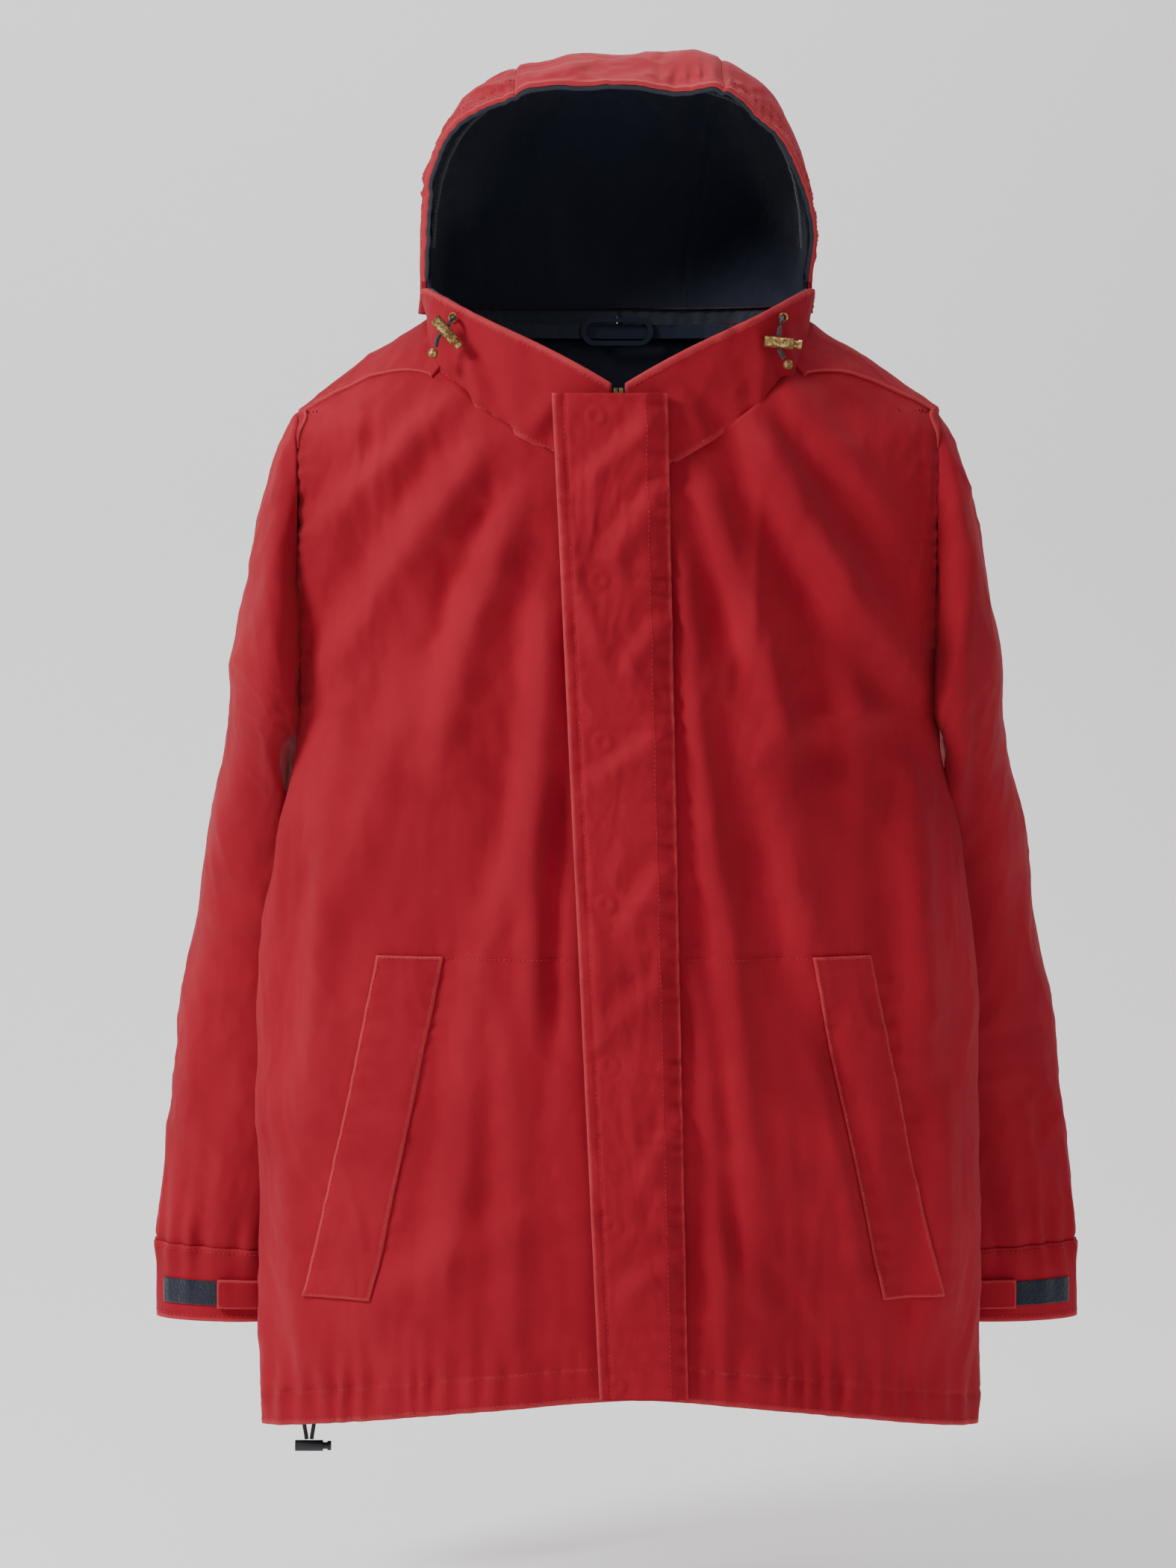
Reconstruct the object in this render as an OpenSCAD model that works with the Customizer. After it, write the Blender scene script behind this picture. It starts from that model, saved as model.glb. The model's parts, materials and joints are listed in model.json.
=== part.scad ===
// Hooded foul weather jacket, hanging as on a peg by its back neck loop.
// Millimetres, +Z up. Origin at the hang loop in the middle of the back neck
// seam. The front of the jacket faces -Y and the wearer's left is +X.

/* [Body] */
// Distance between the two shoulder tips
shoulder_w = 480; // [400:1:580]
// Flat width across the armpits
chest_w = 452; // [380:1:560]
// Flat width at the hem
hem_w = 516; // [430:1:620]
// Drop from the back neck to the hem at the side seams
body_len = 800; // [640:1:960]
// How much higher the hem is at the centre front than at the sides
hem_rise = 34; // [0:1:60]
// How far the front swells forward of the side seams
front_d = 76; // [50:1:100]
// How far the back swells behind the side seams
back_d = 76; // [50:1:100]
// Drop from the back neck to the shoulder tips
shoulder_drop = 84; // [60:1:110]
// Drop from the back neck to the armpits
armpit_drop = 292; // [245:1:350]
// Width of the neck seam from side to side
neck_w = 264; // [220:1:310]
// Drop from the back neck to the neck seam at the centre front
neck_drop = 132; // [105:1:160]
// Sideways lean of the centre front line from the neck to the hem
front_lean = 16; // [0:1:24]

/* [Cloth] */
// Thickness of the outer cloth
shell_t = 1.2; // [0.8:0.1:1.8]
// Thickness of the lining cloth
lining_t = 0.8; // [0.5:0.1:1.2]
// Air between the outer cloth and the lining
layer_gap = 3; // [2:0.1:4]
// Gap left between two bodies that move against each other
move_gap = 0.8; // [0.5:0.1:1.5]

/* [Collar and hood] */
// Height of the collar at the centre front
collar_h = 76; // [60:1:95]
// Height of the collar at the sides and back, below the hood
collar_side_h = 12; // [8:1:20]
// Width of the hood across its widest part
hood_w = 276; // [230:1:330]
// Height of the crown of the hood above the back neck
hood_h = 178; // [145:1:215]
// How far the back of the hood stands behind the hang loop axis
hood_back = 84; // [75:1:105]
// How far the face edge of the crown stands in front of that axis
hood_brim = 62; // [50:1:80]
// Width of the facing band inside the face opening
hood_facing_w = 46; // [30:1:60]
// Width of the centre panel of the hood
hood_centre_w = 144; // [110:1:180]

/* [Sleeves] */
// Drop from the shoulder tip to the bottom of the cuff
sleeve_len = 652; // [540:1:780]
// Flat width of the cuff
cuff_w = 124; // [105:1:150]
// Front to back thickness of the hanging cuff
cuff_d = 58; // [44:1:66]
// Depth of the plain cuff band below the gathers
cuff_band_h = 62; // [50:1:80]
// Width of the elastic in the gathers
elastic_w = 12; // [8:1:20]
// Width of the hook and loop tapes
hook_tape_w = 22; // [16:1:26]
// Length of the loop patch on the cuff
loop_patch_len = 76; // [60:1:84]
// Length of the cuff tab
cuff_tab_len = 66; // [50:1:80]

/* [Storm flap and snaps] */
// Width of the storm flap at its top
flap_top_w = 80; // [66:1:92]
// Width of the storm flap at the hem
flap_hem_w = 62; // [54:1:80]
// Distance of the flap's sewn edge from the zip
flap_hinge_x = 34; // [26:1:44]
// Air between the front panel and the flap
flap_gap = 6; // [5.6:0.1:7]
// Number of snaps down the flap
snap_count = 7; // [5:1:9]
// Diameter of a snap's base
snap_d = 14; // [10:0.5:16]
// Diameter of a snap's stud
snap_stud_d = 4.4; // [3:0.1:5]
// Clearance of the stud in its socket
snap_clear = 0.5; // [0.4:0.05:1]
// Height of a snap socket
snap_socket_h = 2.8; // [2:0.1:3]
// Distance of the snaps from the zip
snap_x = 16; // [13:0.5:24]

/* [Zip] */
// Width of one zip tape
zip_tape_w = 14; // [10:0.5:18]
// Width of the closed row of teeth
zip_chain_w = 6; // [4:0.5:8]
// Thickness of the teeth
zip_chain_t = 2.6; // [2:0.1:3]
// Travel of the slider down the zip
zip_travel = 600; // [440:5:640]

/* [Pockets] */
// Length of a pocket opening
pocket_len = 246; // [190:1:280]
// Width of a pocket welt
welt_w = 44; // [34:1:52]
// Slant of the pocket opening over its length
pocket_slant = 52; // [30:1:64]
// Height of the top of the pocket above the side hem
pocket_top = 346; // [330:1:380]
// Depth of the pocket bag towards the centre front
bag_w = 120; // [90:1:130]

/* [Cords and cord locks] */
// Diameter of the drawcords
cord_d = 3; // [2.4:0.1:3.6]
// Diameter of a cord lock barrel
lock_d = 8; // [7:0.1:9]
// Length of a cord lock barrel
lock_len = 20; // [17:0.5:24]
// Diameter of a cord lock's plunger stem
plunger_d = 5; // [4.4:0.1:5.4]
// Clearance of the plunger in its barrel
plunger_clear = 0.4; // [0.3:0.05:0.6]
// Travel of the plunger
plunger_travel = 3; // [2:0.1:4]
// Diameter of a cord end bead
bead_d = 7; // [6:0.1:8]

/* [Hidden] */

$fn = 48;
RED = "#c8202e";
DEEP_RED = "#b31c29";
NAVY = "#121829";
CHARCOAL = "#23283a";
BRASS = "#b08d4c";
BLACK = "#17181c";
GREY = "#6d6f76";

lining_k = shell_t + layer_gap;
neck_top = 8;
neck_top_z = -neck_top;
armhole_x = chest_w / 2;
hem_side_z = -body_len;
hem_front_z = -(body_len - hem_rise);
opening_gap = zip_chain_w + 2.4;
nose = 1.3;

function lerp(a, b, t) = a + (b - a) * t;
function clamp(t) = max(0, min(1, t));
function smooth(t) = let (c = clamp(t)) c * c * (3 - 2 * c);
function steps(n) = [for (i = [0:n]) i / n];

// Smooth curve through rows whose first entry rises, read at x.
function row_at(rows, x, i = 0) =
    i >= len(rows) - 2 || x < rows[i + 1][0] ? i : row_at(rows, x, i + 1);
function slope(rows, i) =
    let (a = rows[max(i - 1, 0)], b = rows[min(i + 1, len(rows) - 1)])
    (b - a) / (b[0] - a[0]);
function curve(rows, x) =
    let (
        i = row_at(rows, x),
        a = rows[i],
        b = rows[i + 1],
        h = b[0] - a[0],
        t = clamp((x - a[0]) / h),
        m0 = slope(rows, i) * h,
        m1 = slope(rows, i + 1) * h
    )
    a * (2 * t * t * t - 3 * t * t + 1) + m0 * (t * t * t - 2 * t * t + t)
    + b * (3 * t * t - 2 * t * t * t) + m1 * (t * t * t - t * t);

// Half width of the body at each height.
width_rows = [
    [-body_len - 20, hem_w / 2],
    [-body_len + 300, hem_w / 2],
    [-body_len + 420, (hem_w + chest_w) / 4 + 4],
    [-armpit_drop, chest_w / 2],
    [-armpit_drop + 80, (chest_w + shoulder_w) / 4 + 6],
    [-shoulder_drop - 24, shoulder_w / 2 + 3],
    [-shoulder_drop + 4, shoulder_w / 2 - 6],
    [-shoulder_drop / 2 - 4, (shoulder_w + neck_w) / 4 + 4],
    [neck_top_z, neck_w / 2],
    [neck_top_z + 10, neck_w / 2 - 8]
];
function body_w(z) = curve(width_rows, z)[1];

// The centre front is one straight line, so that the zip runs true.
front_line_rise = 0.012;
function front_y(z) = front_d + (-neck_drop - z) * front_line_rise;
function front_depth(z) =
    front_y(z) * (z < -neck_drop ? 1 : lerp(1, 0.46, pow((z + neck_drop) / (neck_drop - neck_top), 1.3)));
function back_depth(z) =
    back_d * lerp(1, 0.68, pow(clamp((z + shoulder_drop * 2) / (shoulder_drop * 2 - neck_top)), 1.6));
function lean(z) = front_lean * clamp((-neck_drop + collar_h - z) / (body_len - neck_drop + collar_h));

// A point of the body: a is the angle from the centre front towards +X,
// k the depth below the outer face.
function body_pt(a, z, k = 0) =
    let (d = cos(a) > 0 ? front_depth(z) : back_depth(z))
    [
        (body_w(z) - k) * sin(a) + lean(z) * pow(max(cos(a), 0), 2),
        -sign(cos(a)) * (d - k) * pow(abs(cos(a)), nose),
        z
    ];
// Largest angle that the front or back reaches before the side seam or armhole.
function side_angle(z) =
    z < -armpit_drop || body_w(z) <= armhole_x ? 90 : asin(armhole_x / body_w(z));
function hem_z(a) =
    cos(a) > 0 ? lerp(hem_front_z, hem_side_z, pow(abs(sin(a)), 1.4)) : hem_side_z;
function neck_z(a) =
    abs(a) < 90 ? lerp(-neck_drop, neck_top_z, 1 - pow(1 - abs(a) / 90, 2)) : neck_top_z;

// A closed shell between the surface f(u, v, k0) and f(u, v, k1), with u and v
// from 0 to 1. flip turns the faces over for a surface that runs the other way.
module shell(f, nu, nv, k0, k1, flip = false) {
    su = steps(nu);
    sv = steps(nv);
    n = (nu + 1) * (nv + 1);
    w = nv + 1;
    points = [for (k = [k0, k1]) for (u = su) for (v = sv) f(u, v, k)];
    faces = concat(
        [for (i = [0:nu - 1]) for (j = [0:nv - 1]) let (p = i * w + j)
            for (t = [[p, p + w, p + w + 1], [p, p + w + 1, p + 1]]) t],
        [for (i = [0:nu - 1]) for (j = [0:nv - 1]) let (p = n + i * w + j)
            for (t = [[p, p + w + 1, p + w], [p, p + 1, p + w + 1]]) t],
        [for (i = [0:nu - 1]) for (p = [i * w]) for (t = [[p, n + p, n + p + w], [p, n + p + w, p + w]]) t],
        [for (i = [0:nu - 1]) for (p = [i * w + nv]) for (t = [[p, n + p + w, n + p], [p, p + w, n + p + w]]) t],
        [for (j = [0:nv - 1]) for (p = [j]) for (t = [[p, n + p + 1, n + p], [p, p + 1, n + p + 1]]) t],
        [for (j = [0:nv - 1]) for (p = [nu * w + j]) for (t = [[p, n + p, n + p + 1], [p, n + p + 1, p + 1]]) t]
    );
    polyhedron(points, flip ? [for (t = faces) [t[0], t[2], t[1]]] : faces);
}

// A closed tube shell, round in u: f(u, v, k) repeats when u goes from 0 to 1.
module ring_shell(f, nu, nv, k0, k1, flip = false) {
    w = nv + 1;
    n = nu * w;
    points = [for (k = [k0, k1]) for (i = [0:nu - 1]) for (v = steps(nv)) f(i / nu, v, k)];
    faces = [for (i = [0:nu - 1]) let (p = i * w, q = ((i + 1) % nu) * w)
        each concat(
            [for (j = [0:nv - 1]) for (t = [[p + j, q + j, q + j + 1], [p + j, q + j + 1, p + j + 1]]) t],
            [for (j = [0:nv - 1]) for (t = [[p + j, q + j + 1, q + j], [p + j, p + j + 1, q + j + 1]])
                [t[0] + n, t[1] + n, t[2] + n]],
            [[p, n + p, n + q], [p, n + q, q]],
            [[p + nv, n + q + nv, n + p + nv], [p + nv, q + nv, n + q + nv]]
        )];
    polyhedron(points, flip ? [for (t = faces) [t[0], t[2], t[1]]] : faces);
}

function unit(v) = v / norm(v);

// A round cord of diameter d along a list of points.
module cord(route, d, sides = 8) {
    n = len(route);
    points = [for (i = [0:n - 1])
        let (
            along = unit(route[min(i + 1, n - 1)] - route[max(i - 1, 0)]),
            guide = abs(along[2]) > 0.8 ? [0, 1, 0] : [0, 0, 1],
            across = unit(cross(along, guide)),
            up = cross(across, along)
        )
        for (s = [0:sides - 1]) route[i] + d / 2 * (across * cos(360 * s / sides) + up * sin(360 * s / sides))];
    polyhedron(points, concat(
        [for (i = [0:n - 2]) for (s = [0:sides - 1]) let (p = i * sides, q = (s + 1) % sides)
            for (t = [[p + s, p + q, p + sides + q], [p + s, p + sides + q, p + sides + s]]) t],
        [[for (s = [sides - 1:-1:0]) s]],
        [[for (s = [0:sides - 1]) (n - 1) * sides + s]]
    ));
}

// ---- Body panels ----
yoke_a = 44;
yoke_back_z = -150;
seam_gap = 0.05;
yoke_gap = 0.35;
collar_gap = 0.4;
opening_a = asin(opening_gap / chest_w);
function yoke_front_z(a) = lerp(-shoulder_drop - 12, neck_z(a) - 4, pow(clamp((90 - a) / (90 - yoke_a)), 0.8));
// A grid angle squeezed so that the last column ends at the armhole.
function squeeze(a, z) = a <= 90 ? a * side_angle(z) / 90 : 180 - (180 - a) * side_angle(z) / 90;

lining_a = asin(2 * 11 / chest_w);
side_a = 0.4;
// The neck seam's height over a squeezed grid angle.
function neck_at(a) = neck_z(squeeze(a, neck_z(squeeze(a, neck_z(a)))));
function front_pt(u, v, k) =
    let (
        a = lerp(k < lining_k ? opening_a : lining_a, 90 - side_a, u),
        top = a < yoke_a ? neck_at(a) : yoke_front_z(a),
        z = lerp(hem_z(a), top - seam_gap, v)
    )
    body_pt(squeeze(a, z), z, k);
function shoulder_pt(u, v, k) =
    let (a = lerp(yoke_a, 90 - side_a, u), z = lerp(yoke_front_z(a) + yoke_gap, neck_at(a) - seam_gap, v))
    body_pt(squeeze(a, z), z, k);
function back_pt(u, v, k) =
    let (z = lerp(hem_side_z, yoke_back_z - seam_gap, v), a = lerp(90 + side_a, 270 - side_a, u))
    a > 180
        ? let (p = body_pt(squeeze(360 - a, z), z, k)) [-p[0], p[1], p[2]]
        : body_pt(squeeze(a, z), z, k);
function yoke_pt(u, v, k) =
    let (z = lerp(yoke_back_z, neck_top_z, v), a = lerp(90 + side_a, 270 - side_a, u))
    a > 180
        ? let (p = body_pt(squeeze(360 - a, z), z, k)) [-p[0], p[1], p[2]]
        : body_pt(squeeze(a, z), z, k);
// One side is the mirror image of the other, apart from the lean of the front.
function on_side(p, side) = side > 0 ? p : [2 * lean(p[2]) * lean_share(p) - p[0], p[1], p[2]];
function lean_share(p) = p[1] < 0 ? pow(clamp(-p[1] / front_depth(p[2])), 2 / nose) : 0;

module front_panel(side, k0, k1, nu, nv) {
    shell(function (u, v, k) on_side(front_pt(u, v, k), side), nu, nv, k0, k1, side < 0);
}
module front_panel_left() color(RED) front_panel(1, 0, shell_t, 14, 20);
module front_panel_right() color(RED) front_panel(-1, 0, shell_t, 14, 20);
module shoulder(side) {
    shell(function (u, v, k) on_side(shoulder_pt(u, v, k), side), 8, 5, 0, shell_t, side < 0);
}
module shoulder_left() color(RED) shoulder(1);
module shoulder_right() color(RED) shoulder(-1);
module back_panel() color(RED)
    shell(function (u, v, k) back_pt(u, v, k), 22, 16, 0, shell_t);
module back_yoke() color(RED)
    shell(function (u, v, k) yoke_pt(u, v, k), 22, 8, 0, shell_t);

// The lining follows the same cloth a layer further in.
lining_k2 = lining_k + lining_t;
module lining_fronts() color(NAVY)
    for (side = [-1, 1]) front_panel(side, lining_k, lining_k2, 14, 10);
back_share = 2 / 3;
module lining_back() color(NAVY)
    shell(
        function (u, v, k) v < back_share ? back_pt(u, v / back_share, k) : yoke_pt(u, (v - back_share) / (1 - back_share), k),
        22, 24, lining_k, lining_k2
    );

// ---- Collar ----
collar_end_a = 179.95;
function collar_rise(a) = collar_side_h + (collar_h - collar_side_h) * pow(max(cos(a), 0), 1.4);
function collar_pt(u, v, k) =
    let (
        a = lerp(k < lining_k ? opening_a : lining_a, collar_end_a, u),
        z0 = neck_z(a) + collar_gap,
        base = body_pt(a, z0, k),
        rise = collar_rise(a) * v,
        out = 6 * sin(a) * v
    )
    [
        base[0] + out + (lean(z0 + rise) - lean(z0)) * pow(max(cos(a), 0), 2),
        base[1] + rise * front_line_rise * cos(a) - 5 * sin(a) * v,
        z0 + rise
    ];
module collar(side, k0, k1, nu, nv) {
    shell(function (u, v, k) on_side(collar_pt(u, v, k), side), nu, nv, k0, k1, side < 0);
}
module collar_left() color(RED) collar(1, 0, shell_t, 20, 4);
module collar_right() color(RED) collar(-1, 0, shell_t, 20, 4);
module collar_linings() color(CHARCOAL)
    for (side = [-1, 1]) collar(side, lining_k, lining_k2, 20, 2);

// ---- Hood ----
// Arches from one side of the neck to the other fan out from an axis there.
hood_axis_y = -6;
hood_axis_z = neck_top_z + collar_side_h + 1.5;
hood_seam_gap = 1;
hood_spine = [
    [0, -hood_brim, hood_h - 24],
    [0.16, -hood_brim + 44, hood_h],
    [0.34, 22, hood_h - 2],
    [0.52, hood_back - 20, hood_h - 34],
    [0.68, hood_back, hood_h - 86],
    [0.84, hood_back - 8, hood_h - 134],
    [1, back_d * 0.68 + 6, hood_axis_z]
];
function hood_pt(w, t, k) =
    let (
        c = curve(hood_spine, t),
        dy = c[1] - hood_axis_y,
        dz = c[2] - hood_axis_z,
        r = norm([dy, dz]),
        corner = lerp(0.62, 1, smooth((t - 0.3) / 0.7)),
        half = lerp(hood_w / 2, neck_w / 2 + 6, smooth((t - 0.2) / 0.8)),
        across = sign(w) * pow(abs(sin(90 * w)), corner),
        up = pow(max(cos(90 * w), 0), corner)
    )
    [
        (half - k) * across,
        hood_axis_y + dy * (r - k) / r * up,
        hood_axis_z + dz * (r - k) / r * up
    ];
hood_u = asin(pow(hood_centre_w / hood_w, 1 / 0.62)) / 90;
hood_low = 0.985;
module hood_part(w0, w1, nu, nv, k0, k1, t0 = 0, t1 = 1) {
    shell(
        function (u, v, k) hood_pt(lerp(w0, w1, u), lerp(t0, t1, v), k),
        nu, nv, k0, k1
    );
}
module hood_side_left() color(RED) hood_part(hood_u + 0.001, hood_low, 10, 14, 0, shell_t);
module hood_side_right() color(RED) hood_part(-hood_low, -hood_u - 0.001, 10, 14, 0, shell_t);
module hood_centre() color(RED) hood_part(-hood_u, hood_u, 10, 16, 0, shell_t);
facing_t = hood_facing_w / (hood_h * 2.4);
module hood_facing() color(CHARCOAL)
    hood_part(-hood_low, hood_low, 26, 2, lining_k, lining_k2, 0, facing_t);
module hood_lining() color(NAVY)
    hood_part(-hood_low, hood_low, 22, 9, lining_k, lining_k2, facing_t + 0.004, 0.985);

// ---- Sleeves ----
function find_top(lo, hi, n = 24) =
    n == 0 ? lo : let (m = (lo + hi) / 2) body_w(m) > armhole_x ? find_top(m, hi, n - 1) : find_top(lo, m, n - 1);
armhole_top_z = find_top(-shoulder_drop, neck_top_z);
armhole_mid_z = (armhole_top_z - armpit_drop) / 2;
armhole_half = (armhole_top_z + armpit_drop) / 2;
cuff_shift = 19;
// Rows: place along the sleeve, drop of the outer edge, its distance outside
// the body, drop and distance of the inner edge, place behind, half thickness.
sleeve_rows = [
    [0, 0, 4, 0.32, 1, 0, 34],
    [0.1, 0.06, 9, 0.335, 3, 0.14, 50],
    [0.2, 0.16, 23, 0.35, 5, 0.32, 60],
    [0.32, 0.28, 49, 0.385, 1, 0.55, 62],
    [0.44, 0.4, 54, 0.46, -24, 0.84, 56],
    [0.56, 0.53, 53, 0.56, -50, 1, 47],
    [0.72, 0.7, 67, 0.715, -68, 1.08, 40],
    [0.92, 0.93, cuff_shift + cuff_w / 2 - 1, 0.935, cuff_shift - cuff_w / 2 - 3, 1.04, cuff_d / 2 + 3],
    [1, 1, cuff_shift + cuff_w / 2, 1, cuff_shift - cuff_w / 2, 1.02, cuff_d / 2]
];
function sleeve_pt(s, v, k) =
    let (
        r = curve(sleeve_rows, v),
        z_out = -shoulder_drop - r[1] * sleeve_len,
        z_in = -shoulder_drop - r[3] * sleeve_len,
        outer = [body_w(z_out) + r[2], r[5] * back_d, z_out],
        inner = [body_w(z_in) + r[4], r[5] * back_d, z_in],
        middle = (outer + inner) / 2,
        arm = outer - middle,
        oval = middle + arm * (norm(arm) - k) / norm(arm) * cos(s) + [0, (r[6] - k) * sin(s), 0],
        z_hole = armhole_mid_z + (armhole_half - k) * cos(s),
        open_a = side_angle(z_hole),
        d = sin(s) < 0 ? front_depth(z_hole) : back_depth(z_hole),
        loop = [
            armhole_x + move_gap,
            sign(sin(s)) * max(d * pow(cos(open_a), nose) - k, 0.6 * abs(sin(s))),
            z_hole
        ]
    )
    lerp(loop, oval, smooth(v / 0.14));
cuff_v = 1 - cuff_band_h / sleeve_len;
function mirrored(p, side) = [side * p[0], p[1], p[2]];
module sleeve_tube(side, v0, v1, k0, k1, nu, nv) {
    ring_shell(
        function (u, v, k) mirrored(sleeve_pt(360 * u, lerp(v0, v1, v), k), side),
        nu, nv, k0, k1, side > 0
    );
}
module sleeve_left() color(RED) sleeve_tube(1, 0, cuff_v - 0.001, 0, shell_t, 24, 15);
module sleeve_right() color(RED) sleeve_tube(-1, 0, cuff_v - 0.001, 0, shell_t, 24, 15);
module sleeve_lining(side) color(NAVY)
    sleeve_tube(side, 0.02, cuff_v - 0.03, lining_k + 1, lining_k2 + 1, 24, 10);
module sleeve_lining_left() sleeve_lining(1);
module sleeve_lining_right() sleeve_lining(-1);
module cuff_left() color(RED) sleeve_tube(1, cuff_v, 1, 0, shell_t, 24, 3);
module cuff_right() color(RED) sleeve_tube(-1, cuff_v, 1, 0, shell_t, 24, 3);
elastic_v = cuff_v - 0.004;
module cuff_elastic(side) color(GREY)
    sleeve_tube(side, elastic_v - elastic_w / sleeve_len, elastic_v, shell_t + 0.3, shell_t + 1.1, 24, 1);
module cuff_elastic_left() cuff_elastic(1);
module cuff_elastic_right() cuff_elastic(-1);

// The tab is sewn down at its inner end and laps over the loop patch.
tab_end_s = -76;
tab_arc = 360 * cuff_tab_len / (PI * (cuff_w + cuff_d));
patch_arc = 360 * loop_patch_len / (PI * (cuff_w + cuff_d));
tab_mid_v = 1 - 26 / sleeve_len;
tab_half_v = hook_tape_w / 2 / sleeve_len;
patch_t = 1;
tape_k = -0.1;
module cuff_patch(side, s0, s1, extra, k0, k1, nu) {
    shell(
        function (u, v, k) mirrored(
            sleeve_pt(lerp(s0, s1, u), lerp(tab_mid_v - tab_half_v - extra, tab_mid_v + tab_half_v + extra, v), k),
            side
        ),
        nu, 1, k0, k1, side > 0
    );
}
module loop_patch(side) color(NAVY)
    cuff_patch(side, tab_end_s - patch_arc / 2, tab_end_s + patch_arc, 0, tape_k - patch_t, tape_k, 14);
module loop_patch_left() loop_patch(1);
module loop_patch_right() loop_patch(-1);
hook_k = tape_k - patch_t - 0.4;
module hook_patch(side) color(BLACK)
    cuff_patch(side, tab_end_s - tab_arc * 0.45, tab_end_s - 2, 0, hook_k - patch_t, hook_k, 8);
module hook_patch_left() hook_patch(1);
module hook_patch_right() hook_patch(-1);
tab_k = hook_k - patch_t - 0.1;
tab_extra = 2 / sleeve_len;
module cuff_tab_left() color(RED)
    cuff_patch(1, tab_end_s - tab_arc, tab_end_s, tab_extra, tab_k - shell_t, tab_k, 12);
module cuff_tab_right() color(RED)
    cuff_patch(-1, tab_end_s - tab_arc, tab_end_s, tab_extra, tab_k - shell_t, tab_k, 12);

// ---- Centre front ----
// A point at distance x from the centre front line, k below the cloth.
function line_pt(x, z, k) = [
    lean(z) + x,
    k - front_y(z) * pow(cos(asin(x / (chest_w / 2 + 20))), nose),
    z
];
front_top_z = -neck_drop + collar_h;
module strip(x0, x1, z0, z1, k0, k1, nu = 2, nv = 4) {
    shell(function (u, v, k) line_pt(lerp(x0, x1, u), lerp(z0, z1, v), k), nu, nv, k0, k1);
}
tape_t = 0.4;
zip_tape_k = shell_t + 2.3;
zip_bottom_z = hem_front_z + 22;
zip_top_z = front_top_z - 4;
slider_z = front_top_z - 26;
facing_x = 12;
facing_w = 36;
facing_top_z = -neck_drop - 44;
module front_facings() color(RED)
    for (side = [-1, 1])
        shell(
            function (u, v, k)
                on_side(on_body(facing_x + facing_w * u, lerp(hem_front_z + 2, facing_top_z, v), k), side),
            3, 10, lining_k2 + 1.6, lining_k2 + 2.3, side < 0
        );
module zip_tapes() color(GREY)
    for (side = [-1, 1]) {
        near = side * (zip_chain_w / 2 + 0.2);
        far = side * zip_tape_w;
        strip(min(near, far), max(near, far), zip_bottom_z + 10, zip_top_z + 2, zip_tape_k, zip_tape_k + tape_t, 1, 8);
    }
tooth_k = (shell_t - zip_chain_t) / 2;
web_t = 1;
web_clear = 0.2;
tooth_x = web_t / 2 + web_clear;
module zip_teeth() color(BLACK)
    for (x = [-zip_chain_w / 2, tooth_x])
        strip(x, x + zip_chain_w / 2 - tooth_x, zip_bottom_z + 10, zip_top_z, tooth_k, tooth_k + zip_chain_t, 1, 1);
module zip_stops() color(BRASS)
    for (side = [-1, 1])
        translate(line_pt(side * 1.8, zip_top_z + 2, 0.6)) cube([2.6, zip_chain_t, 3.4], center = true);
module zip_box() color(BRASS)
    translate(line_pt(0, zip_bottom_z + 4.8, 0.6)) cube([6.4, zip_chain_t + 1, 9.4], center = true);
plate_t = 1.1;
plate_gap = 0.4;
slider_w = 9;
slider_len = 13;
pin_d = 1;
pin_k = -3.5;
lug_x = 1.9;
module at_slider() translate([lean(slider_z), -front_y(slider_z), slider_z]) children();
module zip_slider() color(BRASS) at_slider() {
    plate_y = zip_chain_t / 2 + plate_gap + plate_t / 2;
    mid = tooth_k + zip_chain_t / 2;
    difference() {
        for (y = [mid - plate_y, mid + plate_y]) translate([0, y, 0]) {
            cube([slider_w - 2, plate_t, slider_len], center = true);
            cube([slider_w, plate_t, slider_len - 4], center = true);
        }
        translate([0, mid + plate_y, -slider_len / 2]) cube([2, 3 * plate_t, 3], center = true);
    }
    translate([-web_t / 2, mid - plate_y, 0]) cube([web_t, 2 * plate_y, slider_len / 2]);
    for (side = [-1, 1])
        translate([side * (lug_x + 0.6) - 0.6, pin_k - 0.9, -2])
            cube([1.2, mid - plate_y - pin_k + 0.9, 4]);
    translate([-lug_x - 0.6, pin_k, 0]) rotate([0, 90, 0]) cylinder(d = pin_d, h = 2 * lug_x + 1.2);
}
pull_len = 20;
module zip_pull() color(BRASS) at_slider() difference() {
    union() {
        translate([-lug_x + 0.2, pin_k, 0]) rotate([0, 90, 0]) cylinder(d = pin_d + 1.3, h = 2 * lug_x - 0.4);
        translate([-lug_x + 0.2, pin_k - 0.45, -pull_len]) cube([2 * lug_x - 0.4, 0.9, pull_len]);
        translate([0, pin_k + 0.45, -pull_len]) rotate([90, 0, 0]) cylinder(d = 6.4, h = 0.9);
    }
    translate([-5, pin_k, 0]) rotate([0, 90, 0]) cylinder(d = pin_d + 0.3, h = 10);
    translate([0, pin_k + 3, -pull_len]) rotate([90, 0, 0]) cylinder(d = 2.6, h = 6);
}

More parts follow.
